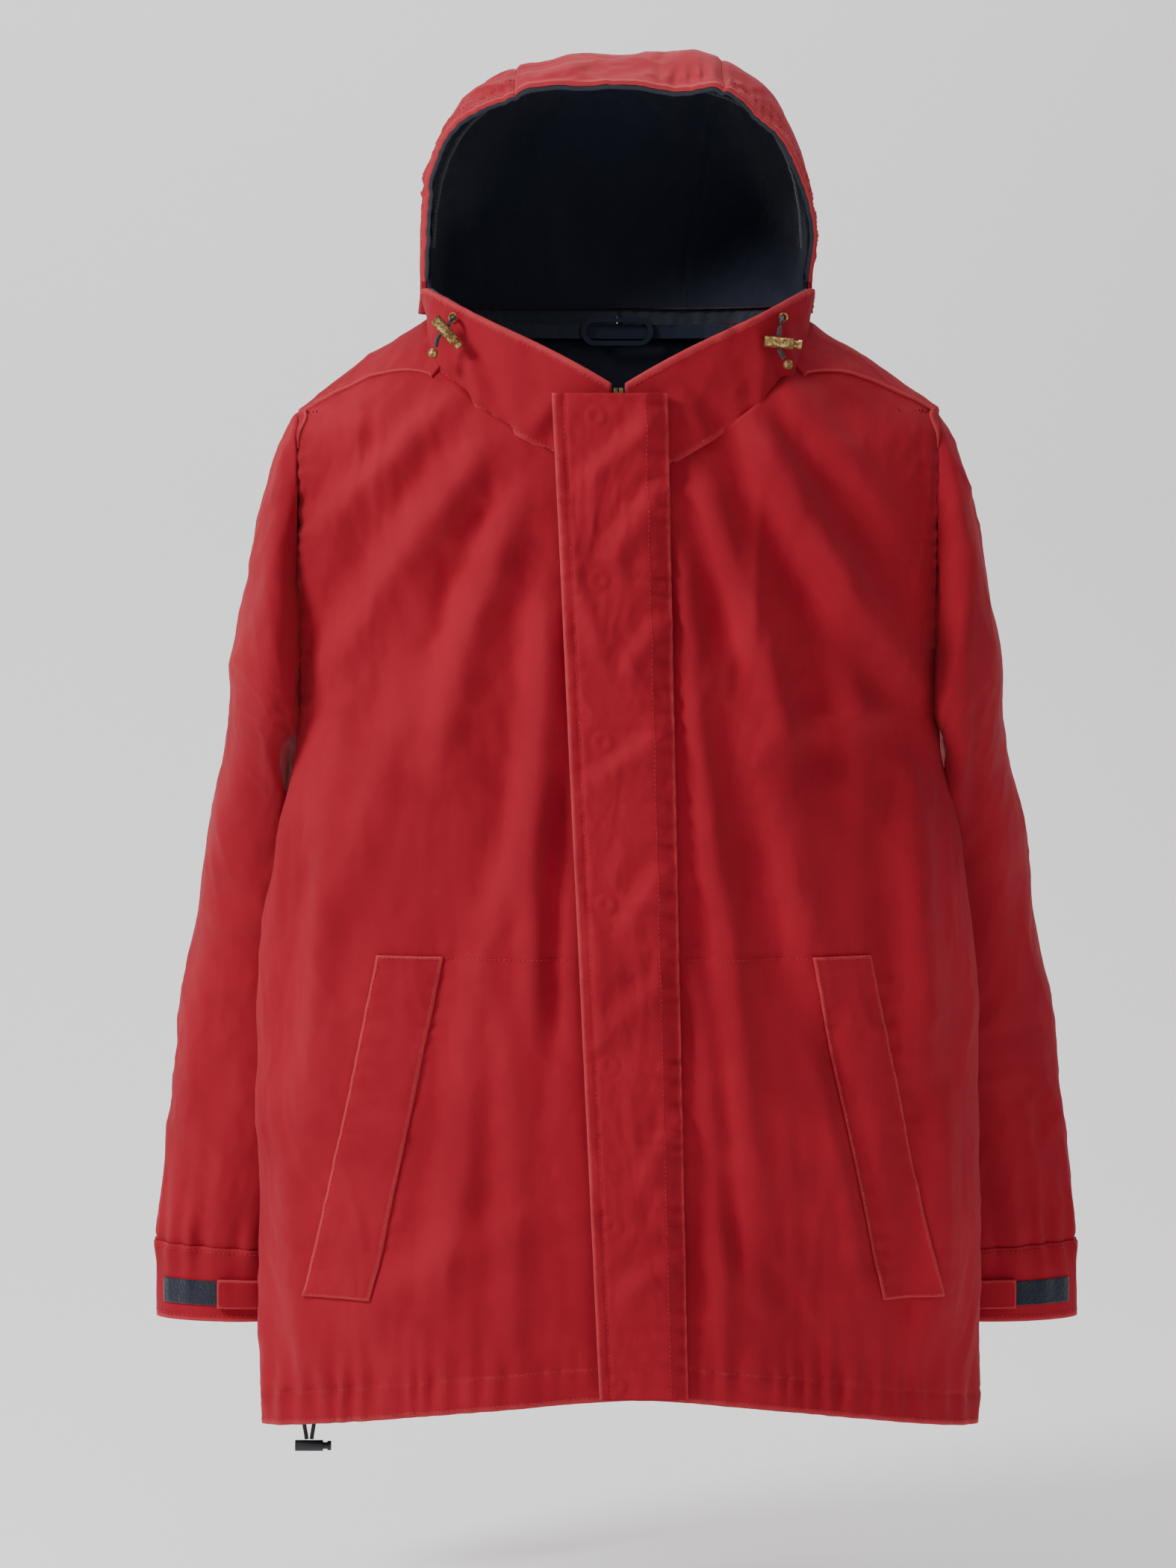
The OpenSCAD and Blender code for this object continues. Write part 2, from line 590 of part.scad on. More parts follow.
// ---- Storm flap ----
flap_top_z = front_top_z - 4;
flap_bottom_z = hem_front_z + 2;
flap_k = -flap_gap - shell_t - lining_t - 0.2;
root_k = -move_gap - shell_t - lining_t - 0.2;
function flap_w(z) = lerp(flap_hem_w, flap_top_w, (z - flap_bottom_z) / (flap_top_z - flap_bottom_z));
function flap_pt(u, v, k) =
    let (z = lerp(flap_bottom_z, flap_top_z, v), x = flap_hinge_x - u * flap_w(z))
    line_pt(x, z, k + lerp(root_k, flap_k, smooth(u / 0.22)));
module storm_flap() color(RED) shell(function (u, v, k) flap_pt(1 - u, v, k), 14, 16, 0, shell_t);
module flap_facing() color(DEEP_RED)
    shell(function (u, v, k) flap_pt(lerp(0.97, 0.02, u), lerp(0.004, 0.996, v), k),
        14, 12, shell_t + 0.2, shell_t + lining_t + 0.2);
snap_top_z = front_top_z - 20;
snap_pitch = (snap_top_z - hem_front_z - 12) / (snap_count - 1);
function snap_at(i, k) = line_pt(-snap_x, snap_top_z - i * snap_pitch, k);
module snap_sockets() color(BRASS)
    for (i = [0:snap_count - 1])
        translate(snap_at(i, 0.2 - flap_gap + snap_socket_h)) rotate([90, 0, 0]) difference() {
            cylinder(d = snap_d, h = snap_socket_h - 0.3);
            translate([0, 0, -1]) cylinder(d = snap_stud_d + 2 * snap_clear, h = snap_socket_h);
        }
module snap_studs() color(BRASS)
    for (i = [0:snap_count - 1])
        translate(snap_at(i, -0.1)) rotate([90, 0, 0]) {
            cylinder(d = snap_d, h = 1);
            cylinder(d = snap_stud_d, h = 3);
        }

// ---- Pockets ----
pocket_top_z = hem_side_z + pocket_top;
pocket_x = hem_w / 4;
function on_body(x, z, k) = body_pt(asin(clamp(x / body_w(z))), z, k);
function welt_pt(u, v, k) =
    let (z = pocket_top_z - pocket_len * (1 - v), x = pocket_x + pocket_slant * (1 - v) + u * welt_w)
    on_body(x, z, k);
module welt(side) color(RED)
    shell(function (u, v, k) on_side(welt_pt(u, v, k), side), 5, 12, -0.2 - shell_t, -0.2, side < 0);
module welt_left() welt(1);
module welt_right() welt(-1);
bag_k = lining_k2 + 1.4;
function bag_pt(u, v, k) =
    let (z = lerp(pocket_top_z - pocket_len, pocket_top_z - 10, v))
    on_body(lerp(pocket_x + pocket_slant * (1 - v) - bag_w + 52, pocket_x + pocket_slant * (1 - v) + 10, u), z, k);
module pocket_bags() color(NAVY)
    for (side = [-1, 1])
        shell(function (u, v, k) on_side(bag_pt(u, v, k), side), 6, 8, bag_k, bag_k + 1.6, side < 0);

// ---- Hem ----
casing_h = 24;
casing_a = 16;
function hem_pt(u, v, k) =
    let (a = lerp(casing_a, 360 - casing_a, u), b = a > 180 ? 360 - a : a, z = hem_z(b) + 1 + casing_h * v)
    on_side(body_pt(b, z, k), a > 180 ? -1 : 1);
casing_k = lining_k2 + 0.2;
module hem_casing() color(RED) shell(function (u, v, k) hem_pt(u, v, k), 40, 1, casing_k, casing_k + lining_t);
hem_lock_at = [-222, -14, hem_side_z - 14];
hem_drop = [[3, 26], [1.6, 15], [0.4, lock_d / 2 + 4], [0, lock_d / 2 + 0.8]];
hem_cord_k = casing_k + lining_t + 1 + cord_d / 2;
module hem_drawcord() color(BLACK) {
    cord([for (i = [0:34]) hem_pt(lerp(0.03, 0.97, i / 34), 0.5, hem_cord_k)], cord_d);
    for (side = [-1, 1])
        cord([for (p = hem_drop) hem_lock_at + [side * (p[0] + cord_d / 2 + 0.3), 0, p[1]]], cord_d);
}

// ---- Cord locks ----
module lock_barrel() difference() {
    translate([-lock_len / 2, 0, 0]) rotate([0, 90, 0]) cylinder(d = lock_d, h = lock_len);
    translate([-lock_len / 2 + 3, 0, 0]) rotate([0, 90, 0])
        cylinder(d = plunger_d + plunger_clear, h = lock_len);
}
spring_len = 3;
cap_t = 2.6;
stem_x = -lock_len / 2 + 3 + spring_len + plunger_travel + 0.3;
module lock_plunger() {
    translate([stem_x, 0, 0]) rotate([0, 90, 0])
        cylinder(d = plunger_d, h = lock_len / 2 - stem_x + plunger_travel + 0.3);
    translate([lock_len / 2 + plunger_travel + 0.3, 0, 0]) rotate([0, 90, 0]) cylinder(d = lock_d - 1, h = cap_t);
}
module lock_spring() translate([-lock_len / 2 + 3, 0, 0]) rotate([0, 90, 0]) difference() {
    cylinder(d = plunger_d - 0.4, h = spring_len);
    translate([0, 0, -1]) cylinder(d = plunger_d - 2, h = spring_len + 2);
}
eyelet_d = 7;
eyelet_t = 1.2;
eyelet_a = 33;
eyelet_turn = 12;
function eyelet_at(side) =
    on_side(collar_pt((eyelet_a - opening_a) / (collar_end_a - opening_a), 0.82, 0), side);
lock_drop_left = [-3, -13, -18];
lock_drop_right = [-6, -12, -9];
hood_lock_left_at = eyelet_at(1) + lock_drop_left;
hood_lock_right_at = eyelet_at(-1) + lock_drop_right;
hood_lock_left_turn = 6;
hood_lock_right_turn = 48;
module at_lock(at, turn) translate(at) rotate([0, turn, 0]) children();
module hood_lock_left() color(BRASS) at_lock(hood_lock_left_at, hood_lock_left_turn) lock_barrel();
module hood_lock_right() color(BRASS) at_lock(hood_lock_right_at, hood_lock_right_turn) lock_barrel();
module hood_lock_plunger_left() color(BRASS) at_lock(hood_lock_left_at, hood_lock_left_turn) lock_plunger();
module hood_lock_plunger_right() color(BRASS) at_lock(hood_lock_right_at, hood_lock_right_turn) lock_plunger();
module hood_lock_spring_left() color(GREY) at_lock(hood_lock_left_at, hood_lock_left_turn) lock_spring();
module hood_lock_spring_right() color(GREY) at_lock(hood_lock_right_at, hood_lock_right_turn) lock_spring();
module hem_lock() color(BLACK) at_lock(hem_lock_at, 0) lock_barrel();
module hem_lock_plunger() color(BLACK) at_lock(hem_lock_at, 0) lock_plunger();

// ---- Hood drawcord ----
hood_cord_k = lining_k2 + 0.5 + cord_d / 2;
module hood_drawcord() color(BLACK)
    cord([for (i = [0:20]) hood_pt(lerp(-0.93, 0.93, i / 20), 0.045, hood_cord_k)], cord_d);
// Cord from each eyelet to its lock, and from the lock to its bead, given
// from the middle of the lock.
below = lock_d / 2 + 0.8;
cord_left_upper = [[3, 11.2, 18], [2, 6, 15], [0.6, 1.4, 10], [0, 0, below]];
cord_left_lower = [[0, 0, -below], [2, 0, -8], [4, 0, -11]];
cord_right_upper = [[6, 10.2, 9], [6, 6, 9], [5, 2, 7], [3.2, 0, 3.2]];
cord_right_lower = [[-3.2, 0, -3.2], [-5, 0, -7], [-6, 0, -12]];
function from_lock(route, at) = [for (p = route) at + p];
module hood_cord_loops() color(BLACK) {
    cord(from_lock(cord_left_upper, hood_lock_left_at), cord_d);
    cord(from_lock(cord_left_lower, hood_lock_left_at), cord_d);
    cord(from_lock(cord_right_upper, hood_lock_right_at), cord_d);
    cord(from_lock(cord_right_lower, hood_lock_right_at), cord_d);
}
bead_reach = bead_d / 2 + cord_d / 2;
module cord_beads() color(BRASS)
    for (at = [
        hood_lock_left_at + cord_left_lower[2] + [bead_reach * 0.5, 0, -bead_reach * 0.86],
        hood_lock_right_at + cord_right_lower[2] + [-bead_reach * 0.4, 0, -bead_reach * 0.9]
    ]) translate(at) sphere(d = bead_d);
module hood_eyelets() color(BRASS)
    for (side = [-1, 1])
        translate(eyelet_at(side)) rotate([-90, 0, side * eyelet_turn]) translate([0, 0, -eyelet_t - 0.9]) difference() {
            cylinder(d = eyelet_d, h = eyelet_t);
            translate([0, 0, -1]) cylinder(d = cord_d + 1.6, h = 4);
        }

// ---- Back neck ----
tape_h = 10;
module neck_tape() color(NAVY)
    shell(
        function (u, v, k) let (a = lerp(130, 230, u), b = a > 180 ? 360 - a : a,
            p = body_pt(b, neck_top_z, k)) [a > 180 ? -p[0] : p[0], p[1], lerp(neck_top_z - tape_h, neck_top_z, v)],
        10, 1, lining_k2 + 0.3, lining_k2 + 1.3
    );
loop_d = 3.4;
loop_half = 26;
loop_y = back_depth(neck_top_z) - lining_k2 - 2 - loop_d;
module hang_loop() color(NAVY)
    translate([0, loop_y, -13]) rotate([90, 0, 0]) linear_extrude(loop_d / 2, center = true) difference() {
        hull() for (side = [-1, 1]) translate([side * (loop_half - 10), 0]) circle(10);
        hull() for (side = [-1, 1]) translate([side * (loop_half - 10), 0]) circle(10 - loop_d);
    }

front_panel_left();
front_panel_right();
shoulder_left();
shoulder_right();
back_panel();
back_yoke();
front_facings();
lining_fronts();
lining_back();
collar_left();
collar_right();
collar_linings();
neck_tape();
hang_loop();
hood_side_left();
hood_side_right();
hood_centre();
hood_lining();
hood_facing();
hood_drawcord();
hood_eyelets();
hood_cord_loops();
hood_lock_left();
hood_lock_right();
hood_lock_plunger_left();
hood_lock_plunger_right();
hood_lock_spring_left();
hood_lock_spring_right();
cord_beads();
storm_flap();
flap_facing();
snap_sockets();
snap_studs();
zip_tapes();
zip_teeth();
zip_stops();
zip_box();
zip_slider();
zip_pull();
welt_left();
welt_right();
pocket_bags();
hem_casing();
hem_drawcord();
hem_lock();
hem_lock_plunger();
sleeve_left();
sleeve_right();
sleeve_lining_left();
sleeve_lining_right();
cuff_left();
cuff_right();
cuff_elastic_left();
cuff_elastic_right();
cuff_tab_left();
cuff_tab_right();
loop_patch_left();
loop_patch_right();
hook_patch_left();
hook_patch_right();
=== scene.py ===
# %% [markdown]
# # A hooded foul weather jacket
# The jacket hangs from its back neck. Its cloth is washed cotton and nylon
# canvas, lined with plain nylon, and its small metal parts are old brass. The
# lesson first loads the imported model, then works out each piece of cloth as a
# surface, and at the end gives every piece its finish.

# %% Load the frame
import json
import math

import bpy
import numpy as np
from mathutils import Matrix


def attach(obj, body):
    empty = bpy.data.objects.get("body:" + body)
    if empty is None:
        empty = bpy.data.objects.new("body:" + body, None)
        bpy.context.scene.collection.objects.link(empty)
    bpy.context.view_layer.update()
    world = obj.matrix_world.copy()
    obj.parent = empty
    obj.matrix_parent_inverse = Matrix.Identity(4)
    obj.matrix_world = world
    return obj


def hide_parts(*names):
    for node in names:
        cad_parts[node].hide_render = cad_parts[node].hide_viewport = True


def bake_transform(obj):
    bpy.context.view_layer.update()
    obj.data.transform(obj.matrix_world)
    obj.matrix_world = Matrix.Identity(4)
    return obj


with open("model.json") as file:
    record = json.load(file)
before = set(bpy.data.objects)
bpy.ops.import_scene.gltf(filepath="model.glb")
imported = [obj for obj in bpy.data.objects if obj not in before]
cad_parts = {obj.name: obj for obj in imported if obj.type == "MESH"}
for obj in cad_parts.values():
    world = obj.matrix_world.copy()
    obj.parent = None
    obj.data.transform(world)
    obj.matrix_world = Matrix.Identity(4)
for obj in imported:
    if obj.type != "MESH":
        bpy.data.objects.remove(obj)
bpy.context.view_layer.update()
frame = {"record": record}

MM = 0.001

# %% [markdown]
# The camera looks straight at the front from a little above, far enough away
# that the sleeves don't spread. Its view is 1.123 m high at the jacket.

# %% Camera
VIEW_HEIGHT = 1.123
VIEW_CENTRE = (-0.021, 0.0, -0.337)
CAMERA_DISTANCE = 3.0
SENSOR_HEIGHT = 36.0
CAMERA_RISE = math.radians(4.0)
camera_data = bpy.data.cameras.new("camera")
camera = bpy.data.objects.new("camera", camera_data)
bpy.context.scene.collection.objects.link(camera)
camera.location = (
    VIEW_CENTRE[0],
    -CAMERA_DISTANCE * math.cos(CAMERA_RISE),
    VIEW_CENTRE[2] + CAMERA_DISTANCE * math.sin(CAMERA_RISE),
)
camera.rotation_euler = (math.pi / 2 - CAMERA_RISE, 0.0, 0.0)
camera_data.sensor_fit = "VERTICAL"
camera_data.sensor_height = SENSOR_HEIGHT
camera_data.lens = SENSOR_HEIGHT * CAMERA_DISTANCE / VIEW_HEIGHT
bpy.context.scene.camera = camera

# %% [markdown]
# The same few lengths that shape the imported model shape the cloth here, in
# millimetres. They are turned to metres when a mesh is made.

# %% Sizes
SHOULDER_W, CHEST_W, HEM_W = 480.0, 452.0, 516.0
BODY_LEN, HEM_RISE = 800.0, 34.0
FRONT_D, BACK_D = 76.0, 76.0
SHOULDER_DROP, ARMPIT_DROP = 84.0, 292.0
NECK_W, NECK_DROP, NECK_TOP_Z = 264.0, 132.0, -8.0
FRONT_LEAN, FRONT_RISE, NOSE = 16.0, 0.012, 1.3
COLLAR_H, COLLAR_SIDE_H = 76.0, 12.0
HOOD_W, HOOD_H, HOOD_BACK, HOOD_BRIM = 276.0, 178.0, 84.0, 62.0
HOOD_CENTRE_W, HOOD_FACING_W = 144.0, 46.0
SLEEVE_LEN, CUFF_W, CUFF_D, CUFF_BAND = 652.0, 124.0, 58.0, 62.0
FLAP_TOP_W, FLAP_HEM_W, FLAP_HINGE_X = 80.0, 62.0, 34.0
HEM_SIDE_Z, HEM_FRONT_Z = -BODY_LEN, -(BODY_LEN - HEM_RISE)
FRONT_TOP_Z = COLLAR_H - NECK_DROP
YOKE_BACK_Z = -150.0
FLAP_TOP_Z, FLAP_BOTTOM_Z = FRONT_TOP_Z - 4.0, HEM_FRONT_Z + 2.0
CUFF_V = 1.0 - CUFF_BAND / SLEEVE_LEN
SIDES = ((1, "left"), (-1, "right"))

# %% [markdown]
# Smooth curves through a few rows give each width and depth. `curve` is a
# Hermite spline: at each row it has the slope from the row before to the row
# after, so the outline has no corner.

# %% Curves
def mix(a, b, t):
    """a where t is 0, b where t is 1, and in proportion between."""
    return a + (b - a) * t


def smooth(t):
    """The ease curve 3t^2 - 2t^3, held at 0 and 1 outside."""
    t = np.clip(t, 0.0, 1.0)
    return t * t * (3.0 - 2.0 * t)


def curve(rows, x):
    """Hermite spline through rows [x, a, b ...]; gives columns a, b ... at x."""
    rows = np.asarray(rows, float)
    x = np.asarray(x, float)
    at = np.clip(np.searchsorted(rows[:, 0], x, side="right") - 1, 0, len(rows) - 2)
    row = np.arange(len(rows))
    before, after = np.maximum(row - 1, 0), np.minimum(row + 1, len(rows) - 1)
    slope = (rows[after] - rows[before]) / (rows[after, :1] - rows[before, :1])
    a, b, h = rows[at], rows[at + 1], (rows[at + 1] - rows[at])[..., :1]
    t = np.clip((x[..., None] - a[..., :1]) / h, 0.0, 1.0)
    out = (
        a * (2 * t**3 - 3 * t**2 + 1) + slope[at] * h * (t**3 - 2 * t**2 + t)
        + b * (3 * t**2 - 2 * t**3) + slope[at + 1] * h * (t**3 - t**2)
    )
    return out[..., 1:]


WIDTH_ROWS = [
    [-BODY_LEN - 20, HEM_W / 2], [-BODY_LEN + 300, HEM_W / 2],
    [-BODY_LEN + 420, (HEM_W + CHEST_W) / 4 + 4], [-ARMPIT_DROP, CHEST_W / 2],
    [-ARMPIT_DROP + 80, (CHEST_W + SHOULDER_W) / 4 + 6],
    [-SHOULDER_DROP - 24, SHOULDER_W / 2 + 3], [-SHOULDER_DROP + 4, SHOULDER_W / 2 - 6],
    [-SHOULDER_DROP / 2 - 4, (SHOULDER_W + NECK_W) / 4 + 4],
    [NECK_TOP_Z, NECK_W / 2], [NECK_TOP_Z + 10, NECK_W / 2 - 8],
]


def body_w(z):
    """Half width of the body at height z."""
    return curve(WIDTH_ROWS, z)[..., 0]


def front_y(z):
    """How far the straight centre front line stands forward at height z."""
    return FRONT_D + (-NECK_DROP - z) * FRONT_RISE


def front_depth(z):
    """Front half depth: the line's own below the neck, shrinking to the shoulder."""
    rise = np.clip((z + NECK_DROP) / (NECK_DROP + NECK_TOP_Z), 0.0, 1.0)
    return front_y(z) * mix(1.0, 0.46, rise**1.3)


def back_depth(z):
    """Back half depth, shrinking towards the back neck."""
    rise = np.clip((z + SHOULDER_DROP * 2) / (SHOULDER_DROP * 2 + NECK_TOP_Z), 0.0, 1.0)
    return BACK_D * mix(1.0, 0.68, rise**1.6)


def lean(z):
    """Sideways drift of the centre front on its way down."""
    return FRONT_LEAN * np.clip((FRONT_TOP_Z - z) / (BODY_LEN + FRONT_TOP_Z), 0.0, 1.0)


def body_pt(a, z, k=0.0):
    """Level lens section at height z: a in degrees from centre front to +X, k below the face."""
    a, z = np.broadcast_arrays(np.asarray(a, float), np.asarray(z, float))
    s, c = np.sin(np.radians(a)), np.cos(np.radians(a))
    depth = np.where(c > 0, front_depth(z), back_depth(z))
    x = (body_w(z) - k) * s + lean(z) * np.maximum(c, 0.0) ** 2
    return np.stack([x, -np.sign(c) * (depth - k) * np.abs(c) ** NOSE, z], -1)


def side_angle(z):
    """Largest section angle before the flat plane of the armhole."""
    w = body_w(z)
    inside = (z > -ARMPIT_DROP) & (w > CHEST_W / 2)
    return np.where(inside, np.degrees(np.arcsin(np.minimum(CHEST_W / 2 / w, 1.0))), 90.0)


def squeeze(a, z):
    """A grid angle drawn in so that the last column follows the armhole.

    The shift grows with the cube of the angle's nearness to the side.
    """
    near = np.minimum(a, 180 - a) / 90
    shift = (90 - side_angle(z)) * near**3
    return np.where(a <= 90, a - shift, a + shift)


def hem_z(a):
    """Height of the hem: raised at the centre front, level across the back."""
    s, c = np.sin(np.radians(a)), np.cos(np.radians(a))
    return np.where(c > 0, mix(HEM_FRONT_Z, HEM_SIDE_Z, np.abs(s) ** 1.4), HEM_SIDE_Z)


def neck_z(a):
    """Height of the neck seam, low at the centre front."""
    return np.where(a < 90, mix(-NECK_DROP, NECK_TOP_Z, 1 - (1 - np.minimum(a, 90) / 90) ** 2), NECK_TOP_Z)


print("half widths:", np.round(body_w(np.array([-90.0, -292.0, -700.0])), 1))

# %% [markdown]
# The collar, hood and sleeves have their own formulas. The hood is a fan of
# arches from one side of the neck to the other, and a sleeve is a chain of
# ovals from the flat armhole down to the cuff.

# %% Collar, hood and sleeve surfaces
def collar_pt(a, v, k=0.0):
    """The neck seam raised by the collar's height, tall in front and low behind."""
    s, c = np.sin(np.radians(a)), np.cos(np.radians(a))
    base = body_pt(a, neck_z(a), k)
    rise = (COLLAR_SIDE_H + (COLLAR_H - COLLAR_SIDE_H) * np.maximum(c, 0.0) ** 1.4) * v
    z = base[..., 2] + rise
    x = base[..., 0] + 6 * s * v + (lean(z) - lean(base[..., 2])) * np.maximum(c, 0.0) ** 2
    return np.stack([x, base[..., 1] + rise * FRONT_RISE * c - 5 * s * v, z], -1)


HOOD_AXIS_Y, HOOD_AXIS_Z = -6.0, NECK_TOP_Z + COLLAR_SIDE_H + 1.5
HOOD_SPINE = [
    [0, -HOOD_BRIM, HOOD_H - 24], [0.16, -HOOD_BRIM + 44, HOOD_H], [0.34, 22, HOOD_H - 2],
    [0.52, HOOD_BACK - 20, HOOD_H - 34], [0.68, HOOD_BACK, HOOD_H - 86],
    [0.84, HOOD_BACK - 8, HOOD_H - 134], [1, BACK_D * 0.68 + 6, HOOD_AXIS_Z],
]
HOOD_CORNER = 0.62
HOOD_U = math.degrees(math.asin((HOOD_CENTRE_W / HOOD_W) ** (1 / HOOD_CORNER))) / 90
HOOD_LOW = 0.985
HOOD_TUCK = 7.0


def hood_pt(w, t, k=0.0):
    """Arch t of the hood, from the face edge (0) to the nape (1); w runs side to side."""
    spine = curve(HOOD_SPINE, t)
    dy, dz = spine[..., 0] - HOOD_AXIS_Y, spine[..., 1] - HOOD_AXIS_Z
    r = np.hypot(dy, dz)
    corner = mix(HOOD_CORNER, 1.0, smooth((t - 0.3) / 0.7))
    half = mix(HOOD_W / 2, NECK_W / 2 + 6, smooth((t - 0.2) / 0.8))
    across = np.sign(w) * np.abs(np.sin(np.pi / 2 * w)) ** corner
    up = np.maximum(np.cos(np.pi / 2 * w), 0.0) ** corner
    share = (r - k) / r * up
    return np.stack([(half - k) * across, HOOD_AXIS_Y + dy * share, HOOD_AXIS_Z + dz * share], -1)


ARM_X, MOVE_GAP = CHEST_W / 2, 0.8
arm_low, arm_high = -SHOULDER_DROP, NECK_TOP_Z
for _ in range(24):
    arm_mid = (arm_low + arm_high) / 2
    arm_low, arm_high = (arm_mid, arm_high) if body_w(arm_mid) > ARM_X else (arm_low, arm_mid)
ARM_TOP_Z = arm_low
CUFF_SHIFT = 19.0
SLEEVE_ROWS = [
    [0, 0, 4, 0.32, 1, 0, 34], [0.1, 0.06, 9, 0.335, 3, 0.14, 50],
    [0.2, 0.16, 23, 0.35, 5, 0.32, 60], [0.32, 0.28, 49, 0.385, 1, 0.55, 62],
    [0.44, 0.4, 54, 0.46, -24, 0.84, 56], [0.56, 0.53, 53, 0.56, -50, 1, 47],
    [0.72, 0.7, 67, 0.715, -68, 1.08, 40],
    [0.92, 0.93, CUFF_SHIFT + CUFF_W / 2 - 1, 0.935, CUFF_SHIFT - CUFF_W / 2 - 3, 1.04, CUFF_D / 2 + 3],
    [1, 1, CUFF_SHIFT + CUFF_W / 2, 1, CUFF_SHIFT - CUFF_W / 2, 1.02, CUFF_D / 2],
]


def sleeve_pt(s, v, k=0.0):
    """Left sleeve: s in degrees round from the outer edge, v from armhole to cuff."""
    s, v = np.broadcast_arrays(np.asarray(s, float), np.asarray(v, float))
    row = curve(SLEEVE_ROWS, v)
    cos, sin = np.cos(np.radians(s)), np.sin(np.radians(s))
    z_out, z_in = -SHOULDER_DROP - row[..., 0] * SLEEVE_LEN, -SHOULDER_DROP - row[..., 2] * SLEEVE_LEN
    back = row[..., 4] * BACK_D
    outer = np.stack([body_w(z_out) + row[..., 1], back, z_out], -1)
    inner = np.stack([body_w(z_in) + row[..., 3], back, z_in], -1)
    middle, arm = (outer + inner) / 2, (outer - inner) / 2
    reach = np.linalg.norm(arm, axis=-1)
    oval = middle + arm * ((reach - k) / reach * cos)[..., None]
    oval[..., 1] += (row[..., 5] - k) * sin
    z = (ARM_TOP_Z - ARMPIT_DROP) / 2 + ((ARM_TOP_Z + ARMPIT_DROP) / 2 - k) * cos
    depth = np.where(sin < 0, front_depth(z), back_depth(z)) * np.cos(np.radians(side_angle(z))) ** NOSE
    y = np.sign(sin) * np.maximum(depth - k, 0.6 * np.abs(sin))
    loop = np.stack([np.full_like(z, ARM_X + MOVE_GAP), y, z], -1)
    return mix(loop, oval, smooth(v / 0.14)[..., None])


def line_pt(x, z, k=0.0):
    """A point at distance x from the centre front line, k below the cloth."""
    x, z = np.broadcast_arrays(np.asarray(x, float), np.asarray(z, float))
    y = k - front_y(z) * np.cos(np.arcsin(x / (CHEST_W / 2 + 20))) ** NOSE
    return np.stack([lean(z) + x, y, z], -1)


print("armhole top:", round(ARM_TOP_Z, 1), "hood seam at", round(HOOD_U, 3))

# %% [markdown]
# Cloth is never smooth. Three things shape it here: long folds that hang from
# the neck and shoulders, small crumples from washing, and puckers where a
# seam's thread is shorter than the cloth. All three are heights added along
# the surface's own outward direction.

# %% Noise and folds
LATTICE_SIZE = 64
LATTICE = np.random.default_rng(7).random((LATTICE_SIZE,) * 3)


def noise(p):
    """Smooth value noise from -1 to 1 at points p, on a repeating lattice."""
    p = np.asarray(p, float)
    cell = np.floor(p).astype(int)
    f = p - cell
    f = f * f * (3 - 2 * f)
    total = 0.0
    for corner in np.ndindex(2, 2, 2):
        weight = np.prod(np.where(np.array(corner) == 1, f, 1 - f), axis=-1)
        at = (cell + corner) % LATTICE_SIZE
        total = total + weight * LATTICE[at[..., 0], at[..., 1], at[..., 2]]
    return total * 2 - 1


def ridges(p, octaves=3):
    """Sharp-crested noise: 1 minus the size of the noise, finer layers added at half height."""
    total, height, scale = 0.0, 1.0, 1.0
    for layer in range(octaves):
        total = total + height * (1 - 2 * np.abs(noise(p * scale + 17.3 * layer)))
        height, scale = height * 0.5, scale * 2.07
    return total / 1.75


def crumple(p, size=46.0, height=1.6, along=(1.0, 1.0, 0.55)):
    """Crumples of about this size in mm, warped so that none runs straight."""
    q = p / size * np.array(along)
    warp = np.stack([noise(q * 0.7 + 3.1), noise(q * 0.7 + 9.7), noise(q * 0.7 + 21.9)], -1)
    return height * ridges(q + 0.9 * warp)


def fold(x, z, x0, z0, x1, z1, width, height):
    """One soft fold from (x0, z0) to (x1, z1): a bell across, faded at both ends, bowed by noise."""
    dx, dz = x1 - x0, z1 - z0
    length = math.hypot(dx, dz)
    t = ((x - x0) * dx + (z - z0) * dz) / length**2
    bow = 0.5 * width * np.sin(3.1 * np.clip(t, -0.3, 1.3) + x0)
    off = ((x - x0) * dz - (z - z0) * dx) / length + bow
    ends = smooth((t + 0.12) / 0.3) * smooth((1.12 - t) / 0.35)
    crest = np.exp(-((off / width) ** 2)) - 0.6 * np.exp(-(((off - 1.5 * width) / width) ** 2))
    return height * ends * crest


def folds(x, z, rows):
    """All the folds in rows, each x0, z0, x1, z1, width, height."""
    return sum(fold(x, z, *row) for row in rows)


def pucker(along, away, pitch=11.0, reach=13.0, height=1.3, seed=0.0):
    """Ripples across a seam: waves along it that die out with distance from it."""
    beat = noise(np.stack([along / 26 + seed, along * 0 + seed, along * 0 + 1.5], -1))
    wave = np.sin(2 * np.pi * (along + 5 * beat) / pitch + 3 * beat)
    return height * wave * (0.55 + 0.45 * beat) * np.exp(-np.abs(away) / reach)


# %% [markdown]
# `sheet_mesh` turns a grid of points into a mesh with a UV map in metres, so a
# weave runs with the cloth. It also keeps a `wear` value at each point: 1 on
# seams and edges that have rubbed pale, 0 in the open cloth. It keeps a shade value too, which paints shade
# into the colour.

# %% Mesh makers
def unit_grid(nu, nv):
    """Shares from 0 to 1 across and along, nu by nv."""
    return np.meshgrid(np.linspace(0, 1, nu), np.linspace(0, 1, nv), indexing="ij")


def smooth_mesh(name, points, faces):
    """A smooth-shaded mesh of points given in mm."""
    mesh = bpy.data.meshes.new(name)
    mesh.from_pydata((points.reshape(-1, 3) * MM).tolist(), [], faces)
    mesh.polygons.foreach_set("use_smooth", np.ones(len(mesh.polygons), bool))
    return mesh


def new_object(name, mesh):
    """Link a finished mesh at the origin."""
    piece = bpy.data.objects.new(name, mesh)
    bpy.context.scene.collection.objects.link(piece)
    return piece


